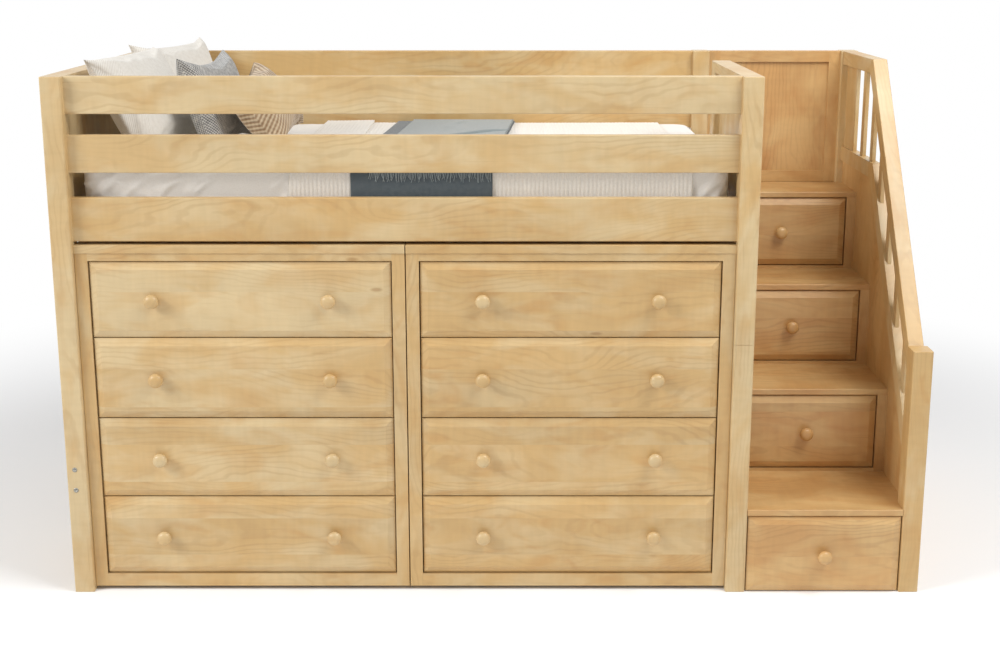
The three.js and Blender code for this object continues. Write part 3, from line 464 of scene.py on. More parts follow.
def shell(name, middle, thickness, material):
    """A closed cloth from a grid of points at its middle, with its thickness to both sides."""
    rows, columns = middle.shape[:2]
    offset = grid_normals(middle) * np.broadcast_to(thickness, (rows, columns))[..., None] / 2
    points = np.concatenate([(middle + offset).reshape(-1, 3), (middle - offset).reshape(-1, 3)])
    count = rows * columns
    index = np.arange(count).reshape(rows, columns)
    rim = np.concatenate([index[0, :-1], index[:-1, -1], index[-1, :0:-1], index[:0:-1, 0]])
    after = np.roll(rim, -1)
    edge = np.stack([after, rim, rim + count, after + count], -1)
    faces = np.concatenate([grid_faces(rows, columns), grid_faces(rows, columns, count, True), edge])
    return make_object(name, points, faces, material)


def evaluated_points(piece):
    """Where the points of a piece are after its modifiers, at this frame."""
    evaluated = piece.evaluated_get(bpy.context.evaluated_depsgraph_get())
    points = np.empty(len(evaluated.data.vertices) * 3, np.float32)
    evaluated.data.vertices.foreach_get("co", points)
    return points.reshape(-1, 3).astype(float)


def set_points(piece, points):
    """Moves the points of a piece."""
    piece.data.vertices.foreach_set("co", points.astype(np.float32).ravel())
    piece.data.update()


def apply_modifiers(piece):
    """Makes what the modifiers give into the piece's own mesh."""
    depsgraph = bpy.context.evaluated_depsgraph_get()
    evaluated = piece.evaluated_get(depsgraph)
    mesh = bpy.data.meshes.new_from_object(evaluated, preserve_all_data_layers=True, depsgraph=depsgraph)
    piece.modifiers.clear()
    piece.data = mesh


def capped(start, end, cap):
    """The end points, none further than cap from its start."""
    move = end - start
    far = np.linalg.norm(move, axis=-1, keepdims=True)
    return start + move * np.minimum(1, cap / np.maximum(far, 1e-9))


def run_cloth(piece, frames, cap, spread, bending, pressure=0.0, mass=0.25):
    """Runs Blender's cloth on a piece and returns its points, none moved further than cap. The cloth
    grows by the share spread, so that it settles into soft folds, and pressure fills a pillow."""
    start = evaluated_points(piece)
    cloth = piece.modifiers.new("Cloth", "CLOTH")
    settings = cloth.settings
    settings.quality = 6
    settings.mass = mass
    settings.air_damping = 3
    settings.tension_stiffness = settings.compression_stiffness = 18
    settings.shear_stiffness = 8
    settings.bending_stiffness = bending
    settings.shrink_min = -spread
    if pressure:
        settings.use_pressure = True
        settings.uniform_pressure_force = pressure
        settings.effector_weights.gravity = 0
    cloth.collision_settings.use_collision = not pressure
    cloth.collision_settings.distance_min = 1.5 * MM
    cloth.point_cache.frame_end = frames
    for step in range(1, frames + 1):
        bpy.context.scene.frame_set(step)
    end = evaluated_points(piece)
    piece.modifiers.remove(cloth)
    bpy.context.scene.frame_set(1)
    return capped(start, end, cap)


def settled(grid, under, spread, bending, cap, frames=24):
    """A grid of cloth after it has settled on what is under it."""
    rows, columns = grid.shape[:2]
    trial = make_object("cloth_trial", grid, grid_faces(rows, columns), None)
    under.modifiers.new("Collision", "COLLISION")
    under.collision.thickness_outer = 1 * MM
    under.collision.cloth_friction = 20
    points = run_cloth(trial, frames, cap, spread, bending)
    under.modifiers.remove(under.modifiers["Collision"])
    bpy.data.objects.remove(trial)
    return points.reshape(rows, columns, 3)


def rolling(points, scale, seed):
    """Smooth noise from -1 to 1 at each point."""
    shift = Vector((seed * 3.1, seed * 1.7, seed * 2.3))
    stretched = points.reshape(-1, 3) * np.broadcast_to(np.asarray(scale, float), 3)
    return np.array([noise.noise(Vector(point) + shift) for point in stretched]).reshape(points.shape[:-1])


def finish_node(name, material):
    """Gives a node of the frame its material."""
    slots = frame["nodes"][name].data.materials
    slots.clear()
    slots.append(material)


def finish_wood(name, look, grain, stairs=False, zones=()):
    """Gives a node of the frame its own maple."""
    finish_node(name, maple(f"maple_{name}", look, grain, stairs, zones))


# Parts of a node whose grain runs another way
PANEL_CAP = 34 * MM  # the rail on top of an end panel
CASE_STILE = 38 * MM
CASE_TOP = 25 * MM
STEP_STILE = 30 * MM
TREAD = 20 * MM
GUARD_FRAME = 40 * MM
RAILING_SLOPE = (0, 1, 1.42)
HANDRAIL_KNEE = 0.62  # share of its depth at which the handrail turns level


def finish_posts_and_rails(look):
    """Posts stand with their grain up, rails lie with it along the bed."""
    for name in ("post_front_left", "post_back_left", "post_back_right", "post_front_right", "entry_post"):
        finish_wood(name, look, UP)
    for side in ("front", "back"):
        for place in ("top", "middle", "side"):
            finish_wood(f"rail_{side}_{place}", look, ALONG)
    finish_wood("end_rail_left", look, BACKWARD)
    for name in ("end_panel_left", "end_panel_right"):
        low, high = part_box(name)
        zones = [((None, None, high.z - PANEL_CAP), (None, None, high.z), BACKWARD)]
        if name == "end_panel_right":
            entry_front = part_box("entry_post")[0].y
            sill_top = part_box("rail_front_side")[1].z
            zones.append(((None, entry_front, low.z), (None, high.y, sill_top), BACKWARD))
        finish_wood(name, look, UP, zones=zones)
    finish_node("slat_deck", birch_plywood("birch_slats", BACKWARD))


def finish_dresser_cases(look):
    """A case has upright stiles and sides, and rails, floor and top along the bed."""
    for side in ("left", "right"):
        name = f"dresser_{side}_case"
        low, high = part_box(name)
        stiles = [
            ((x, None, low.z), (x + CASE_STILE, None, high.z - CASE_TOP), UP)
            for x in (low.x, high.x - CASE_STILE)
        ]
        finish_wood(name, look, ALONG, zones=stiles)
        for row in range(1, 5):
            finish_node(f"dresser_{side}_drawer_{row}_box", birch_plywood(f"birch_{side}_{row}", ALONG))


def finish_stairs(look):
    """The staircase's posts and panels stand with their grain up, its treads lie with it along the bed."""
    for name in ("stair_newel", "stair_back_post", "stair_cap_rail"):
        finish_wood(name, look, UP)
    # stairs=True gives these pieces the stairs' colours, painted darker and warmer for the stairwell's shade
    for name in ("stair_side_left", "stair_side_right", "stair_back_panel"):
        finish_wood(name, look, UP, stairs=True)
    low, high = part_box("stair_handrail")
    knee = between(low.y, high.y, HANDRAIL_KNEE)
    level = ((None, knee, None), (None, high.y, None), BACKWARD)
    finish_wood("stair_handrail", look, RAILING_SLOPE, zones=[level])
    for step in range(1, 5):
        name = f"stair_step_{step}"
        low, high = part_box(name)
        stile = ((high.x - STEP_STILE, None, low.z), (high.x, None, high.z - TREAD), UP)
        finish_wood(name, look, ALONG, stairs=True, zones=[stile] if step > 1 else [])
        finish_node(f"stair_drawer_{step}_box", birch_plywood(f"birch_stair_{step}", ALONG))
    low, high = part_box("stair_guard_panel")
    rails = [
        ((low.x + GUARD_FRAME, None, z), (high.x - GUARD_FRAME, None, z + GUARD_FRAME), ALONG)
        for z in (low.z, high.z - GUARD_FRAME)
    ]
    finish_wood("stair_guard_panel", look, UP, stairs=True, zones=rails)


def revolved(name, profile, centre, material, steps=40):
    """A turned piece that stands out of a front: a profile of radius and distance towards the room."""
    turns = [2 * math.pi * i / steps for i in range(steps)]
    points = [
        (centre.x + radius * math.cos(a), centre.y - out, centre.z + radius * math.sin(a))
        for radius, out in profile
        for a in turns
    ]
    return make_object(name, points, tube_faces(len(profile), steps), material)


# A mushroom knob: its radii, and how far its parts stand out of the drawer front
KNOB_INSET = 183 * MM
KNOB_BASE, KNOB_BASE_OUT = 12 * MM, 2 * MM
KNOB_BASE_EASE = 0.8 * MM
KNOB_NECK, KNOB_NECK_OUT = 9 * MM, 6.5 * MM
KNOB_UNDER_HEAD, KNOB_UNDER_HEAD_OUT = 17.2 * MM, 12 * MM
KNOB_RADIUS, KNOB_WIDEST_OUT = 21.5 * MM, 20 * MM
KNOB_TIP, KNOB_TIP_OUT = 0.4 * MM, 34 * MM
KNOB_SUNK = 1 * MM


def knob_profile():
    """A mushroom knob: base, hollow neck, and a head that is widest at two thirds of its height."""
    shoulder, edge_out = KNOB_BASE - KNOB_BASE_EASE, KNOB_BASE_OUT - KNOB_BASE_EASE
    profile = [(KNOB_BASE, -KNOB_SUNK), (KNOB_BASE, edge_out), (shoulder, KNOB_BASE_OUT)]
    shares = np.linspace(0, 1, 9)[1:]
    curves = (
        (KNOB_NECK, shoulder, (1 - shares) ** 2, KNOB_BASE_OUT, KNOB_NECK_OUT),
        (KNOB_NECK, KNOB_UNDER_HEAD, shares**2, KNOB_NECK_OUT, KNOB_UNDER_HEAD_OUT),
        (KNOB_UNDER_HEAD, KNOB_RADIUS, np.sin(shares * math.pi / 2), KNOB_UNDER_HEAD_OUT, KNOB_WIDEST_OUT),
    )
    for narrow, wide, curve, start, end in curves:
        profile += zip(between(narrow, wide, curve), between(start, end, shares))
    turns = np.linspace(0, math.pi / 2, 15)[1:]
    radii = np.maximum(KNOB_RADIUS * np.cos(turns) ** 0.75, KNOB_TIP)
    profile += zip(radii, between(KNOB_WIDEST_OUT, KNOB_TIP_OUT, np.sin(turns)))
    return profile


# From the back of a drawer front to the outer edge of its bevel and to its raised field
FRONT_EDGE = 11.5 * MM
FRONT_FIELD = 22 * MM
FRONT_EASE = 1.4 * MM


def raised_front(name, node, look, material):
    """A drawer front: square back, eased edge, bevel, and a raised field with a crisp arris."""
    low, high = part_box(node)
    edge, field = high.y - FRONT_EDGE, high.y - FRONT_FIELD
    halfway = 0.4 * FRONT_EASE
    loops = [(0, high.y), (0, edge + FRONT_EASE), (halfway, edge + halfway), (FRONT_EASE, edge)]
    arris = ((-0.6 * MM, 0.5 * MM), (0, 0.1 * MM), (0.7 * MM, 0))
    loops += [(look.bevel + inset, field + sunk) for inset, sunk in arris]
    points = []
    for inset, y in loops:
        left, right, bottom, top = low.x + inset, high.x - inset, low.z + inset, high.z - inset
        points += [(left, y, bottom), (right, y, bottom), (right, y, top), (left, y, top)]
    front = make_object(name, points, tube_faces(len(loops), 4), material, smooth=False)
    return front, Vector(((low.x + high.x) / 2, field, (low.z + high.z) / 2))


def make_drawer_fronts(look):
    """Every drawer's raised front with its turned knobs, each on its own drawer's body."""
    profile = knob_profile()
    for drawer in frame["bodies"]:
        if drawer == "root":
            continue
        # The stair drawers' fronts and knobs take the stairs' colours, which are painted shade
        stairs = drawer.startswith("stair")
        node = f"{drawer}_front"
        low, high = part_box(node)
        wood = maple(f"maple_{drawer}", look, ALONG, stairs, boards=True)
        front, centre = raised_front(f"{drawer}_raised_front", node, look, wood)
        belongs(front, node, drawer)
        places = [STAIR_MIDDLE] if stairs else [low.x + KNOB_INSET, high.x - KNOB_INSET]
        knob_wood = maple(f"maple_knob_{drawer}", look, ALONG, stairs, figure=0.3)
        for number, x in enumerate(places, 1):
            knob = revolved(f"{drawer}_knob_{number}", profile, Vector((x, centre.y, centre.z)), knob_wood)
            belongs(knob, body=drawer)


BOLT_INSET = 25 * MM
BOLT_HEIGHTS = (332 * MM, 397 * MM)
# Radius and distance towards the room, in mm
BOLT_HEAD = ((7.4, -0.4), (7.4, 0.7), (7, 1.4), (6.2, 1.7))
BOLT_SOCKET = ((4.1, 1.75), (3.7, 1.5), (3.6, 0.2), (0.3, 0.1))


def make_bolts():
    """Two socket-head bolts in the front of the left post."""
    steel = zinc_steel()
    low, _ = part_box("post_front_left")
    profile = [(radius * MM, out * MM) for radius, out in BOLT_HEAD + BOLT_SOCKET]
    for number, z in enumerate(BOLT_HEIGHTS, 1):
        centre = Vector((low.x + BOLT_INSET, low.y, z))
        bolt = revolved(f"post_bolt_{number}", profile, centre, steel, steps=24)
        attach(bolt, "root")


MATTRESS_STEP = 9 * MM
MATTRESS_STEP_UP = 5 * MM
MATTRESS_PLAN_RADIUS = 60 * MM
MATTRESS_EDGE_RADIUS = 26 * MM


def round_pair(a, b):
    """Turns a square corner into a round one: a and b run out from the inner corner."""
    wide = np.maximum(a, b)
    scale = np.where(wide > 1e-9, wide / np.maximum(np.hypot(a, b), 1e-9), 1.0)
    return a * scale, b * scale


def mattress_points(grid, half):
    """Points on a box, moved onto one with round corners in plan and round long edges."""
    p = np.abs(grid)
    corner = half[:2] - MATTRESS_PLAN_RADIUS
    top = half[2] - MATTRESS_EDGE_RADIUS
    beyond = np.maximum(p[..., :2] - corner, 0)
    rounded = np.stack(round_pair(beyond[..., 0], beyond[..., 1]), -1)
    inset = half[:2] - p[..., :2]
    out_side = np.maximum(MATTRESS_EDGE_RADIUS - inset.min(-1), 0)
    side, rise = round_pair(out_side, np.maximum(p[..., 2] - top, 0))
    on_end = inset[..., 0] <= inset[..., 1]
    square = np.stack([on_end, ~on_end], -1).astype(float)
    length = np.linalg.norm(rounded, axis=-1, keepdims=True)
    in_corner = (beyond > 0).all(-1)[..., None]
    outward = np.where(in_corner, rounded / np.maximum(length, 1e-9), square)
    plan = np.minimum(p[..., :2], corner) + rounded - outward * (out_side - side)[..., None]
    height = np.minimum(p[..., 2], top) + rise
    return np.concatenate([plan, height[..., None]], -1) * np.sign(grid)


def make_mattress(look):
    """The mattress in its fitted sheet: round edges, soft hollows, and creases that lean up its sides."""
    low, high = MATTRESS
    centre, half = (low + high) / 2, np.array((high - low) / 2)
    steps = (MATTRESS_STEP, MATTRESS_STEP, MATTRESS_STEP_UP)
    counts = [max(2, round(2 * h / size)) for h, size in zip(half, steps)]
    points, faces = [], []
    start = 0
    for axis in range(3):
        u, v = (axis + 1) % 3, (axis + 2) % 3
        for sign in (-1, 1):
            rows, columns = counts[u] + 1, counts[v] + 1
            grid = np.empty((rows, columns, 3))
            grid[..., axis] = sign * half[axis]
            grid[..., u] = np.linspace(-half[u], half[u], rows)[:, None]
            grid[..., v] = np.linspace(-half[v], half[v], columns)[None, :]
            points.append(grid.reshape(-1, 3))
            faces.append(grid_faces(rows, columns, start, flip=sign > 0))
            start += rows * columns
    shaped = mattress_points(np.concatenate(points), half) + np.array(centre)
    thread = linear("#cfc8bb")
    cotton = woven("cotton_sheet", colour(look.sheet), thread, 2.4 * MM, contrast=0.25, depth=0.12, twill=0)
    piece = make_object("mattress_in_sheet", shaped, np.concatenate(faces), cotton)
    piece.modifiers.new("Weld", "WELD").merge_threshold = 0.05 * MM
    apply_modifiers(piece)
    wrinkle_sheet(piece, centre, half)
    belongs(piece, "mattress")
    return piece


def wrinkle_sheet(piece, centre, half):
    """Moves the sheet by a few millimetres in lines that lean across the sides, and adds its creases."""
    points = evaluated_points(piece)
    normals = np.empty(len(points) * 3, np.float32)
    piece.data.vertices.foreach_get("normal", normals)
    leaned = points.copy()
    leaned[:, 0] += 1.1 * points[:, 2] + 0.2 * points[:, 1]
    fine = rolling(leaned, (17, 3.2, 4.5), 1) + 0.6 * rolling(leaned, (34, 6, 9), 2)
    broad = 0.45 + 0.55 * np.abs(rolling(points, 3.2, 3))
    down = half[2] - (points[:, 2] - centre.z)
    depth = 2.4 * MM * np.clip(fine, -1, 1) * np.clip(down / half[2], 0.25, 1) * broad - 1.5 * MM
    depth += sheet_creases(points, centre, half)
    depth[down > 2 * half[2] - 12 * MM] = 0
    set_points(piece, points + normals.reshape(-1, 3) * depth[:, None])


CREASE_CAP = 6.5 * MM
# Creases a side at the head and at the foot, and the angles that they lean by, in degrees
HEAD_CREASES = (20, (14, 22, 40, 46, 52, -30))
FOOT_CREASES = (6, (38, 46, 54))


def sheet_creases(points, centre, half):
    """The height of the creases across the sheet's front and back, where the quilt leaves it bare."""
    draw = random.Random(7)
    quilt_low, quilt_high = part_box("quilt")
    x, z = points[:, 0], points[:, 2]
    bare = sum(np.clip(past / (15 * MM), 0, 1) for past in (quilt_low.x - x, x - quilt_high.x))
    height = np.zeros(len(points))
    head = ((centre.x - half[0], quilt_low.x), *HEAD_CREASES)
    foot = ((quilt_high.x, centre.x + half[0]), *FOOT_CREASES)
    for side in (-1, 1):
        on_side = side * (points[:, 1] - centre.y) > half[1] - 30 * MM
        for span, count, leans in (head, foot):
            for _ in range(count):
                x0 = draw.uniform(*span)
                z0 = centre.z + draw.uniform(-0.2, 0.9) * half[2]
                lean = math.radians(draw.choice(leans))
                reach, width = draw.uniform(30, 70) * MM, draw.uniform(6, 11) * MM
                along = (x - x0) * math.cos(lean) + (z - z0) * math.sin(lean)
                across = (z - z0) * math.cos(lean) - (x - x0) * math.sin(lean) + 1.6 * along**2
                ridge = np.exp(-((across / width) ** 2) - (along / reach) ** 4)
                height += np.where(on_side, draw.uniform(2.8, 5.5) * MM * ridge, 0)
    return np.minimum(height, CREASE_CAP) * bare


SIDE_ROUNDING = 21 * MM  # of the mattress's long edges, under a cover
COVER_DROP = 130 * MM
COVER_BACK_DROP = 60 * MM
RAIL_CLEAR = 1.5 * MM
LAYER = 3.2 * MM
UPPER_LAYER = 5 * MM
QUILT_BODY = 6.5 * MM
FOLD_WIDTH = 165 * MM
RIB_STEPS = 5  # points across a rib of the quilt


def cover_grid(start, end, offset, step):
    """A grid of points over the mattress, offset from it: rows down its front, over it and down its back,
    and columns along the bed from start to end. Also the length of the way over it."""
    low, high = MATTRESS
    radius, top = SIDE_ROUNDING + offset, high.z + offset
    front, back, corner_z = low.y + SIDE_ROUNDING, high.y - SIDE_ROUNDING, high.z - SIDE_ROUNDING
    dense = [(low.y - offset, z) for z in np.linspace(top - COVER_DROP, corner_z, 60)]
    turns = np.linspace(math.pi, math.pi / 2, 30)
    dense += [(front + radius * math.cos(a), corner_z + radius * math.sin(a)) for a in turns]
    dense += [(y, top) for y in np.linspace(front, back, 200)]
    turns = np.linspace(math.pi / 2, 0, 30)
    dense += [(back + radius * math.cos(a), corner_z + radius * math.sin(a)) for a in turns]
    dense += [(high.y + offset, z) for z in np.linspace(corner_z, top - COVER_BACK_DROP, 40)]
    dense = np.array(dense)
    far = walked(dense)
    at = np.linspace(0, far[-1], max(2, round(far[-1] / step)) + 1)
    xs = np.linspace(start, end, max(2, round((end - start) / step)) + 1)
    grid = np.empty((len(at), len(xs), 3))
    grid[..., 0] = xs
    grid[..., 1] = np.interp(at, far, dense[:, 0])[:, None]
    grid[..., 2] = np.interp(at, far, dense[:, 1])[:, None]
    return grid, far[-1]


def between_rails(grid, thickness, outside=0.0):
    """Keeps hanging cloth, and the layers outside it, clear of the rails in front of it and behind it."""
    clear = thickness / 2 + outside + RAIL_CLEAR
    grid[..., 1] = np.clip(grid[..., 1], RAIL_INSIDE_FRONT + clear, RAIL_INSIDE_BACK - clear)
    return grid


def lifted_clear(grid, under, clear):
    """Moves cloth out until it is clear of the middle of the cloth under it."""
    tree = BVHTree.FromPolygons(under.reshape(-1, 3).tolist(), grid_faces(*under.shape[:2]).tolist())
    points = grid.reshape(-1, 3)
    for index, point in enumerate(points):
        nearest, normal, _, _ = tree.find_nearest(Vector(point))
        short = clear - (Vector(point) - nearest).dot(normal)
        if short > 0:
            points[index] = Vector(point) + normal * short
    return points.reshape(grid.shape)


def rib_thickness(look, columns):
    """The quilt's thickness at its stitching, and what its ribs add to it at each column."""
    ribs = np.abs(np.sin(np.arange(columns) / RIB_STEPS * math.pi))
    return QUILT_BODY - look.rib_height, look.rib_height * ribs


def make_quilt(look, mattress):
    """The quilt: ribs from front to back, laid over the mattress and turned down at its head."""
    low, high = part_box("quilt")
    rough, length = cover_grid(low.x, high.x, 0.6 * MM + QUILT_BODY / 2 + 1 * MM, 15 * MM)
    rough = settled(rough, mattress, spread=0.012, bending=6, cap=7 * MM)
    rough = between_rails(rough, QUILT_BODY, LAYER + UPPER_LAYER + 2 * MM)
    width = high.x - low.x
    columns = RIB_STEPS * round(width / look.rib_pitch) + 1
    rows = round(length / (9 * MM)) + 1
    body = resample(rough, rows, columns)
    flow = body + grid_normals(body) * (0.8 * MM * rolling(body, (7, 5, 5), 5))[..., None]
    from_hem = np.minimum(np.arange(rows), rows - 1 - np.arange(rows))[:, None]
    thin, swell = rib_thickness(look, columns)
    thread = linear("#c9c0b1")
    quilted = woven("quilted_cotton", colour(look.quilt), thread, 3 * MM, contrast=0.3, depth=0.12, twill=0)
    piece = shell("quilt_body", flow, thin + swell * np.clip(from_hem / 2, 0.15, 1), quilted)
    belongs(piece, "quilt")
    fold = make_quilt_fold(look, flow, quilted)
    return piece, flow


def make_quilt_fold(look, flow, quilted):
    """The quilt's head end, turned over and back on itself, with a round roll at the fold."""
    on_top = [
        row
        for row, y in enumerate(flow[:, 0, 1])
        if MATTRESS[0].y + SIDE_ROUNDING < y < MATTRESS[1].y - SIDE_ROUNDING
    ]
    spacing = (flow[0, -1, 0] - flow[0, 0, 0]) / (flow.shape[1] - 1)
    strip = flow[on_top[0] : on_top[-1], : round(FOLD_WIDTH / spacing) + 1]
    normals = grid_normals(strip)
    lift = QUILT_BODY + 1.2 * MM
    puff = 1.5 * MM * (1 + rolling(strip, (9, 6, 6), 8))
    radius = lift / 2
    turn = []
    for a in np.linspace(-math.pi / 2, math.pi / 2, 9)[1:-1]:
        round_over = strip[:, 0] + normals[:, 0] * (radius + radius * math.sin(a))
        round_over[:, 0] -= radius * 1.1 * math.cos(a)
        turn.append(round_over)
    grid = np.concatenate([np.stack(turn, 1), strip + normals * (lift + puff)[..., None]], 1)
    piece = shell("quilt_fold", grid, 0.9 * sum(rib_thickness(look, grid.shape[1])), quilted)
    belongs(piece, "quilt")
    return piece


UPPER_HEM = 1291 * MM  # height of the upper layer's front hem
UPPER_EDGES = (0.127, 0.99)  # shares of the throw's width that the upper layer covers
THROW_SLANT = 0.075  # it runs a little to the right from front to back
THROW_STEP = 5 * MM


def make_throw(look, quilt, flow):
    """The throw: a doubled length of slate wool laid over the quilt, its upper layer with a fringe."""
    low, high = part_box("throw")
    offset = 0.8 * MM + QUILT_BODY + LAYER / 2 + look.rib_height / 2
    rough, length = cover_grid(low.x, high.x, offset + 1.5 * MM, 12 * MM)
    rough = settled(rough, quilt, spread=0.02, bending=0.6, cap=8 * MM)
    rough = between_rails(rough, LAYER, UPPER_LAYER + 0.6 * MM)
    rough[..., 0] += THROW_SLANT * (rough[..., 1] - low.y)
    rows, columns = [round(size / THROW_STEP) + 1 for size in (length, high.x - low.x)]
    body = resample(rough, rows, columns)
    body = lifted_clear(body, flow[:, ::RIB_STEPS], (QUILT_BODY + LAYER) / 2 + 0.5 * MM)
    body += throw_ridges(body, (low + high) / 2)
    slate, dark, lit_brushed = colour(look.throw), colour(look.throw_dark), colour(look.throw_top_lit)
    wool = woven("slate_twill_wool", slate, dark, 5 * MM, contrast=0.75, depth=0.35, sheen=0.4)
    lower = shell("throw_lower_layer", body, LAYER, wool)
    across = [round(columns * share) for share in UPPER_EDGES]
    front = next(row for row in range(rows) if body[row, 0, 2] > UPPER_HEM)
    strip = body[front : rows - 4, across[0] : across[1]]
    loose = 1 * MM * (1 + rolling(strip, (8, 5, 5), 11))
    lift = (LAYER + UPPER_LAYER) / 2 + 0.4 * MM + loose
    upper_grid = between_rails(strip + grid_normals(strip) * lift[..., None], UPPER_LAYER)
    # The upper layer lies on top, and its paler wool is partly its brushed side and partly painted light from
    # above
    lit_pale_wool = woven("lit_brushed_wool", lit_brushed, slate, 5 * MM, sheen=0.5)
    upper = shell("throw_upper_layer", upper_grid, UPPER_LAYER, lit_pale_wool)
    # The fringe's pale wool is partly painted light against the rail's shadow
    lit_fringe_wool = woven("lit_wool_fringe", colour(look.lit_fringe_wool), lit_brushed, 3 * MM, depth=0.2, sheen=0.5)
    fringe = make_fringe(look, body[: front + 1, across[0] :], upper_grid[0], lit_fringe_wool)
    for piece in (lower, upper, fringe):
        belongs(piece, "throw")


# Wrinkles on the throw, from its middle: x and y, lean in degrees, reach, height and width, all in mm
WRINKLES = ((95, 60, 48, 190, 17, 11), (-60, -170, 40, 120, 6, 16), (60, 330, 75, 110, 7, 16))


def throw_ridges(body, middle):
    """How far the throw moves on top of the bed: soft wrinkles that run across it and lean to the front."""
    on_top = np.clip((body[..., 2] - MATTRESS[1].z) / (12 * MM), 0, 1)
    move = np.zeros(body.shape)
    for x, y, lean, reach, height, width in WRINKLES:
        lean = math.radians(lean)
        dx, dy = body[..., 0] - middle.x - x * MM, body[..., 1] - middle.y - y * MM
        along = dx * math.cos(lean) + dy * math.sin(lean)
        across = dy * math.cos(lean) - dx * math.sin(lean) + 1.4 * along**2
        rise = height * MM * on_top * np.exp(-((across / (width * MM)) ** 2) - (along / (reach * MM)) ** 4)
        move += rise[..., None] * np.array([0.75 * math.sin(lean), -0.75 * math.cos(lean), 1])
    return move


FRINGE_PITCH = 4.6 * MM
FRINGE_DRIFT = 7 * MM
STRAND_SIDES = 4
STRAND_STEPS = 6


def make_fringe(look, below, hem, wool):
    """Strands that hang from the upper layer's front hem, each following the cloth below it."""
    draw = random.Random(4)
    count = round((hem[-1, 0] - hem[0, 0]) / FRINGE_PITCH)
    turns = [2 * math.pi * side / STRAND_SIDES + 0.4 for side in range(STRAND_SIDES)]
    points, faces = [], []
    for i in range(count):
        column = (i + 0.5) / count * (len(hem) - 1)
        c = min(int(column), len(hem) - 2)
        root = between(hem[c], hem[c + 1], column - c)
        length = look.fringe * draw.uniform(0.55, 1.0)
        drift = draw.uniform(-1, 1) * FRINGE_DRIFT
        cloth = below[::-1, c]
        far = walked(cloth)
        strand = tube_faces(STRAND_STEPS + 1, STRAND_SIDES, len(points))
        faces += [face[::-1] for face in strand]
        for t in np.linspace(0, 1, STRAND_STEPS + 1):
            y, z = root[1:]
            if t:
                y = np.interp(t * length, far, cloth[:, 1]) - LAYER - 0.8 * MM
                z = np.interp(t * length, far, cloth[:, 2])
            x = root[0] + drift * t**2
            radius = (1.3 - 0.7 * t) * MM
            points += [(x + radius * math.cos(a), y + radius * math.sin(a), z) for a in turns]
    return make_object("throw_fringe", points, faces, wool)


PILLOWS = {
    # Width, height, full thickness and dip of the top edge in mm; roll, lean and yaw in degrees
    "pillow_cream_back": ((452, 336, 96, 2), (0, 22, -18)),
    "pillow_cream_front": ((536.5, 347, 117, -6), (0, 27, -7)),
    "pillow_charcoal": ((421, 306, 100, 14), (0, 19, -8)),
    "pillow_tan": ((455, 261, 128, 6), (6, 37, -4)),
}
PILLOW_CLOTHS = {
    # Cloth, slot, second yarn, pitch in mm, contrast, depth, twill and strength of the crossing yarn
    "cream": ("ticking", "cream_linen", "#cbc3b6", 7.5, 0.5, 0.2, -0.8, 0),
    "charcoal": ("charcoal", "charcoal_weave", "#d6d4cf", 8, 0.85, 0.5, 0.7, 0.6),
    "tan": ("rope", "tan_weave", "#d8c4a6", 30, 0.75, 0.3, -2.2, 0.25),
}
PILLOW_STEPS = (48, 36)  # faces along and up a side


def pillow_shape(width, height, thickness, dip):
    """A pillow before it is filled: two flat sides that meet at a seam, its corners drawn to points."""
    u, v = [np.sin(np.linspace(-1, 1, count + 1) * math.pi / 2) for count in PILLOW_STEPS]
    v = v[:, None]
    swell = np.maximum(0, (1 - u**2) * (1 - v**2)) ** 0.42
    y = width / 2 * u * (1 - 0.06 * (1 - v**2))
    z = height / 2 * v * (1 - 0.06 * (1 - u**2)) - dip * np.maximum(v, 0) ** 2 * (1 - u**2)
    return [np.stack([side * thickness / 2 * swell, y, z], -1) for side in (1, -1)]


def places_along(side):
    """How far each point of a pillow's side is from its middle, measured along the cloth."""
    places = np.zeros(side.shape)
    for axis, column in ((1, 0), (0, 1)):
        steps = np.linalg.norm(np.diff(side, axis=axis), axis=2)
        far = np.insert(np.cumsum(steps, axis=axis), 0, 0, axis=axis)
        places[..., column] = far - np.take(far, [side.shape[axis] // 2], axis=axis)
    return places


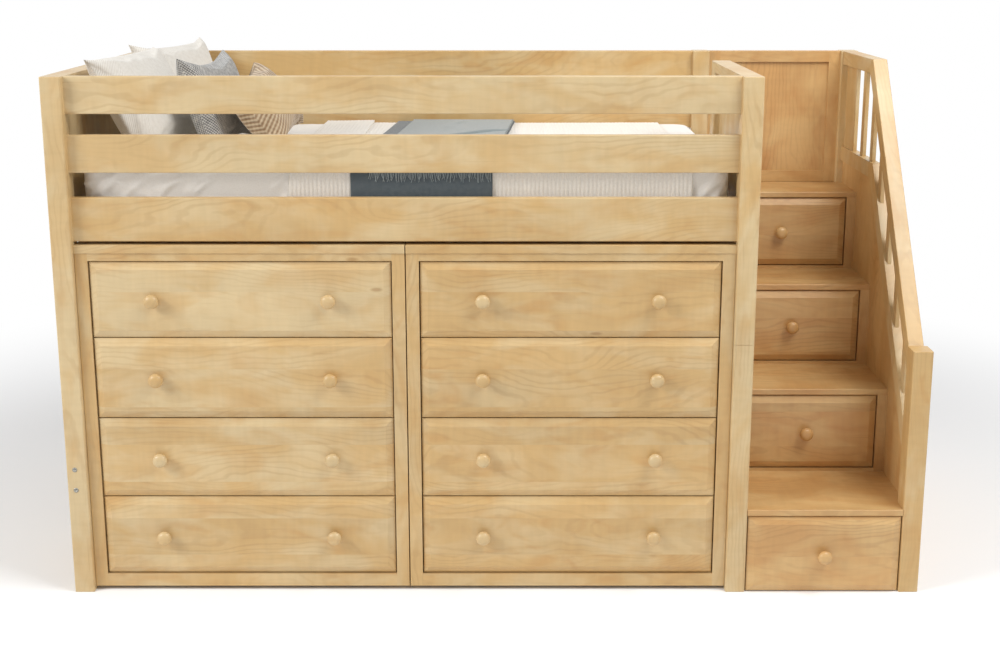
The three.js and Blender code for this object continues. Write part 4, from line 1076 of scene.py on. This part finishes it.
def make_pillow(name, sizes, turns, material):
    """One pillow, filled by cloth pressure, leaning where its solid leans."""
    width, height, thickness, dip = [size * MM for size in sizes]
    roll, lean, yaw = [math.radians(angle) for angle in turns]
    front, back = pillow_shape(width, height, thickness * (0.8), dip)
    rows, columns = front.shape[:2]
    # The sides share the points of the seam
    index = np.arange(rows * columns).reshape(rows, columns)
    index[1:-1, 1:-1] = rows * columns + np.arange((rows - 2) * (columns - 2)).reshape(rows - 2, columns - 2)
    sides = [grid_faces(rows, columns), index.ravel()[grid_faces(rows, columns, flip=True)]]
    points, places = [
        np.concatenate([first.reshape(-1, 3), second[1:-1, 1:-1].reshape(-1, 3)])
        for first, second in ((front, back), (places_along(front), places_along(back)))
    ]
    piece = make_object(f"{name.removeprefix('pillow_')}_pillow", points, np.concatenate(sides), material)
    attribute = piece.data.attributes.new(CLOTH_PLACE, "FLOAT_VECTOR", "POINT")
    attribute.data.foreach_set("vector", places.astype(np.float32).ravel())
    set_points(piece, run_cloth(piece, 18, 16 * MM, spread=0.015, bending=0.8, pressure=3.5, mass=0.2))
    smooth = piece.modifiers.new("Subdivision", "SUBSURF")
    smooth.levels = smooth.render_levels = 1
    apply_modifiers(piece)
    if "cream" in name:
        sew_hem(piece, width, height)
    rotations = ((yaw, "Z"), (-lean, "Y"), (roll, "X"))
    yawed, leaned, rolled = [Matrix.Rotation(angle, 4, axis) for angle, axis in rotations]
    piece.data.transform(yawed @ leaned @ rolled)
    low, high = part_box(name)
    points = evaluated_points(piece)
    middle = (points.min(0) + points.max(0)) / 2
    place = np.array([(low.x + high.x) / 2, (low.y + high.y) / 2, low.z + 0.4 * MM])
    set_points(piece, points + place - np.array([*middle[:2], points.min(0)[2]]))
    piece.data.polygons.foreach_set("use_smooth", [True] * len(piece.data.polygons))
    return piece


HEM_WIDTH = 82 * MM
HEM_STITCH = 2.2 * MM
HEM_SEAM = 4.5 * MM
HEM_FLARE = 22 * MM


def sew_hem(piece, width, height):
    """Draws a pillowcase in along its hem seam, and lets its open end flare to a flat edge."""
    points = evaluated_points(piece)
    from_end = points[:, 1] + width / 2
    seam = np.exp(-(((from_end - HEM_WIDTH) / HEM_SEAM) ** 2))
    beyond = np.clip(1 - from_end / HEM_WIDTH, 0, 1)
    points[:, 0] *= 1 - 0.35 * beyond
    points[:, 0] -= np.sign(points[:, 0]) * HEM_STITCH * seam * (np.abs(points[:, 0]) > 4 * MM)
    points[:, 1] -= HEM_FLARE * beyond**2 * np.clip(points[:, 2] / height + 0.5, 0, 1) ** 2
    set_points(piece, points)


def make_pillows(look):
    """Four pillows against the left end."""
    for name, (sizes, turns) in PILLOWS.items():
        kind = name.split("_")[1]
        cloth, slot, other, pitch, contrast, depth, twill, second = PILLOW_CLOTHS[kind]
        main = colour(getattr(look, kind))
        weave = {"contrast": contrast, "depth": depth, "twill": twill, "second": second}
        material = woven(f"{cloth}_{name}", main, linear(other), pitch * MM, True, **weave)
        piece = make_pillow(name, sizes, turns, material)
        belongs(piece, name)


FLOOR_REACH = 30
FLOOR_FADE = (1.9, 3.6)  # metres from the bed's middle at which the floor starts and ends turning white


def seen_plainly(tree):
    """1 for what the camera, a mirror or glass sees, 0 for the light that falls on the bed."""
    seen = 0.0
    for kind in ("Camera", "Glossy", "Transmission"):
        ray = add(tree, "LightPath", {}, f"Is {kind} Ray")
        seen = add(tree, "Math", {0: ray, 1: seen}, operation="MAXIMUM")
    return seen


def make_floor(look):
    """A wide pale floor that turns plain white away from the bed, and keeps its shadow near it."""
    material, tree, shader, place = new_material("painted_studio_floor")
    grain = add(tree, "TexNoise", {"Vector": place, "Scale": 40})
    inputs = {0: grain, 6: colour(look.floor), 7: linear("#fbfbfc")}
    tint = add(tree, "Mix", inputs, 2, data_type="RGBA")
    join(tree, shader, {"Base Color": tint, "Roughness": 0.9})
    away = add(tree, "VectorMath", {0: place}, "Value", operation="LENGTH")
    far = add(tree, "MapRange", {0: away, 1: FLOOR_FADE[0], 2: FLOOR_FADE[1]}, **EASED)
    plain = add(tree, "Math", {0: far, 1: seen_plainly(tree)}, operation="MULTIPLY")
    white = add(tree, "Emission", {0: (1, 1, 1, 1), 1: 1.0})
    both = add(tree, "MixShader", {0: plain, 1: shader.outputs[0], 2: white})
    join(tree, tree.nodes["Material Output"], {"Surface": both})
    points = [(x * FLOOR_REACH, y * FLOOR_REACH, 0) for x, y in ((-1, -1), (1, -1), (1, 1), (-1, 1))]
    make_object("floor", points, [(0, 1, 2, 3)], material, smooth=False)


def make_lamp(name, place, aim, size, power):
    """A square area lamp that faces a point."""
    lamp = bpy.data.lights.new(name, "AREA")
    lamp.shape = "SQUARE"
    lamp.size = size
    lamp.energy = power
    made = in_scene(name, lamp)
    made.location = place
    made.rotation_euler = (Vector(aim) - Vector(place)).to_track_quat("-Z", "Y").to_euler()


def make_world(look):
    """Even white light from all round, which is also the white behind the bed."""
    world = bpy.data.worlds.new("studio")
    bpy.context.scene.world = world
    world.use_nodes = True
    tree = world.node_tree
    light = tree.nodes["Background"]
    join(tree, light, {"Color": linear("#ffffff"), "Strength": look.sky})
    white = add(tree, "Background", {"Color": (1, 1, 1, 1), "Strength": 1.0})
    both = add(tree, "MixShader", {0: seen_plainly(tree), 1: light.outputs[0], 2: white})
    join(tree, tree.nodes["World Output"], {"Surface": both})


CAMERA_PLACE = (0.022, -4.343, 1.91)
CAMERA_TILT = math.radians(12.14)
CAMERA_SHIFT = (-0.0036, -0.09)


def make_camera(look):
    """The camera: in front of the bed a little above its top rail, looking down at it."""
    camera = bpy.data.cameras.new("camera")
    camera.lens = look.lens
    camera.sensor_width = 36
    camera.shift_x, camera.shift_y = CAMERA_SHIFT
    made = in_scene("camera", camera)
    made.location = CAMERA_PLACE
    made.rotation_euler = (math.pi / 2 - CAMERA_TILT, 0, 0)
    bpy.context.scene.camera = made


class LOFTBED_OT_stage(bpy.types.Operator):
    """Make the floor, the lamps, the world and the camera"""

    bl_idname = "loft_bed.stage"
    bl_label = "Stage"

    def execute(self, context):
        look = context.scene.loft_bed_stage
        make_camera(look)
        make_floor(look)
        make_world(look)
        make_lamp("key_lamp", (-5.2, -3.0, 3.9), (0, 0, 0.8), 2.2, look.key)
        make_lamp("top_lamp", (2.4, -1.7, 4.5), (0.5, 0, 0.9), 2.4, look.fill)
        context.scene.view_settings.view_transform = "Standard"
        return {"FINISHED"}


class LOFTBED_OT_bed_frame(bpy.types.Operator):
    """Finish the posts, rails, ends and slats"""

    bl_idname = "loft_bed.bed_frame"
    bl_label = "Bed frame"

    def execute(self, context):
        finish_posts_and_rails(context.scene.loft_bed_wood)
        return {"FINISHED"}


class LOFTBED_OT_dressers(bpy.types.Operator):
    """Finish the two dresser cases and their drawer boxes"""

    bl_idname = "loft_bed.dressers"
    bl_label = "Dresser cases"

    def execute(self, context):
        finish_dresser_cases(context.scene.loft_bed_wood)
        return {"FINISHED"}


class LOFTBED_OT_stairs(bpy.types.Operator):
    """Finish the staircase and its railing"""

    bl_idname = "loft_bed.stairs"
    bl_label = "Staircase"

    def execute(self, context):
        finish_stairs(context.scene.loft_bed_wood)
        return {"FINISHED"}


class LOFTBED_OT_drawer_fronts(bpy.types.Operator):
    """Make every drawer's raised front and its knobs"""

    bl_idname = "loft_bed.drawer_fronts"
    bl_label = "Drawer fronts"

    def execute(self, context):
        make_drawer_fronts(context.scene.loft_bed_wood)
        return {"FINISHED"}


class LOFTBED_OT_bolts(bpy.types.Operator):
    """Make the two bolts of the left front post"""

    bl_idname = "loft_bed.bolts"
    bl_label = "Bolts"

    def execute(self, context):
        make_bolts()
        return {"FINISHED"}


class LOFTBED_OT_covers(bpy.types.Operator):
    """Make the mattress, the quilt and the throw"""

    bl_idname = "loft_bed.covers"
    bl_label = "Mattress, quilt and throw"

    def execute(self, context):
        look = context.scene.loft_bed_bedding
        mattress = make_mattress(look)
        quilt, flow = make_quilt(look, mattress)
        make_throw(look, quilt, flow)
        return {"FINISHED"}


class LOFTBED_OT_pillows(bpy.types.Operator):
    """Make the four pillows"""

    bl_idname = "loft_bed.pillows"
    bl_label = "Pillows"

    def execute(self, context):
        make_pillows(context.scene.loft_bed_bedding)
        return {"FINISHED"}


OPERATORS = (
    LOFTBED_OT_stage,
    LOFTBED_OT_bed_frame,
    LOFTBED_OT_dressers,
    LOFTBED_OT_stairs,
    LOFTBED_OT_drawer_fronts,
    LOFTBED_OT_bolts,
    LOFTBED_OT_covers,
    LOFTBED_OT_pillows,
)
LOOKS = {"loft_bed_wood": LoftBedWood, "loft_bed_bedding": LoftBedBedding, "loft_bed_stage": LoftBedStage}


class LOFTBED_PT_panel(bpy.types.Panel):
    """The loft bed's pieces and their looks"""

    bl_idname = "LOFTBED_PT_panel"
    bl_label = "Loft bed"
    bl_space_type = "VIEW_3D"
    bl_region_type = "UI"
    bl_category = "Loft bed"

    def draw(self, context):
        for operator in OPERATORS:
            self.layout.operator(operator.bl_idname)
        for name, group in LOOKS.items():
            box = self.layout.box()
            look = getattr(context.scene, name)
            for setting in group.__annotations__:
                box.prop(look, setting)


def register():
    """Registers the looks, the operators and the panel."""
    for name, group in LOOKS.items():
        bpy.utils.register_class(group)
        setattr(bpy.types.Scene, name, PointerProperty(type=group))
    for operator in (*OPERATORS, LOFTBED_PT_panel):
        bpy.utils.register_class(operator)


def unregister():
    """Undoes register."""
    for operator in (LOFTBED_PT_panel, *reversed(OPERATORS)):
        bpy.utils.unregister_class(operator)
    for name, group in LOOKS.items():
        delattr(bpy.types.Scene, name)
        bpy.utils.unregister_class(group)


def main():
    """Makes the whole bed."""
    register()
    bpy.ops.loft_bed.stage()
    bpy.ops.loft_bed.bed_frame()
    bpy.ops.loft_bed.dressers()
    bpy.ops.loft_bed.stairs()
    bpy.ops.loft_bed.drawer_fronts()
    bpy.ops.loft_bed.bolts()
    bpy.ops.loft_bed.covers()
    bpy.ops.loft_bed.pillows()
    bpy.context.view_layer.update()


if __name__ == "__main__":
    main()
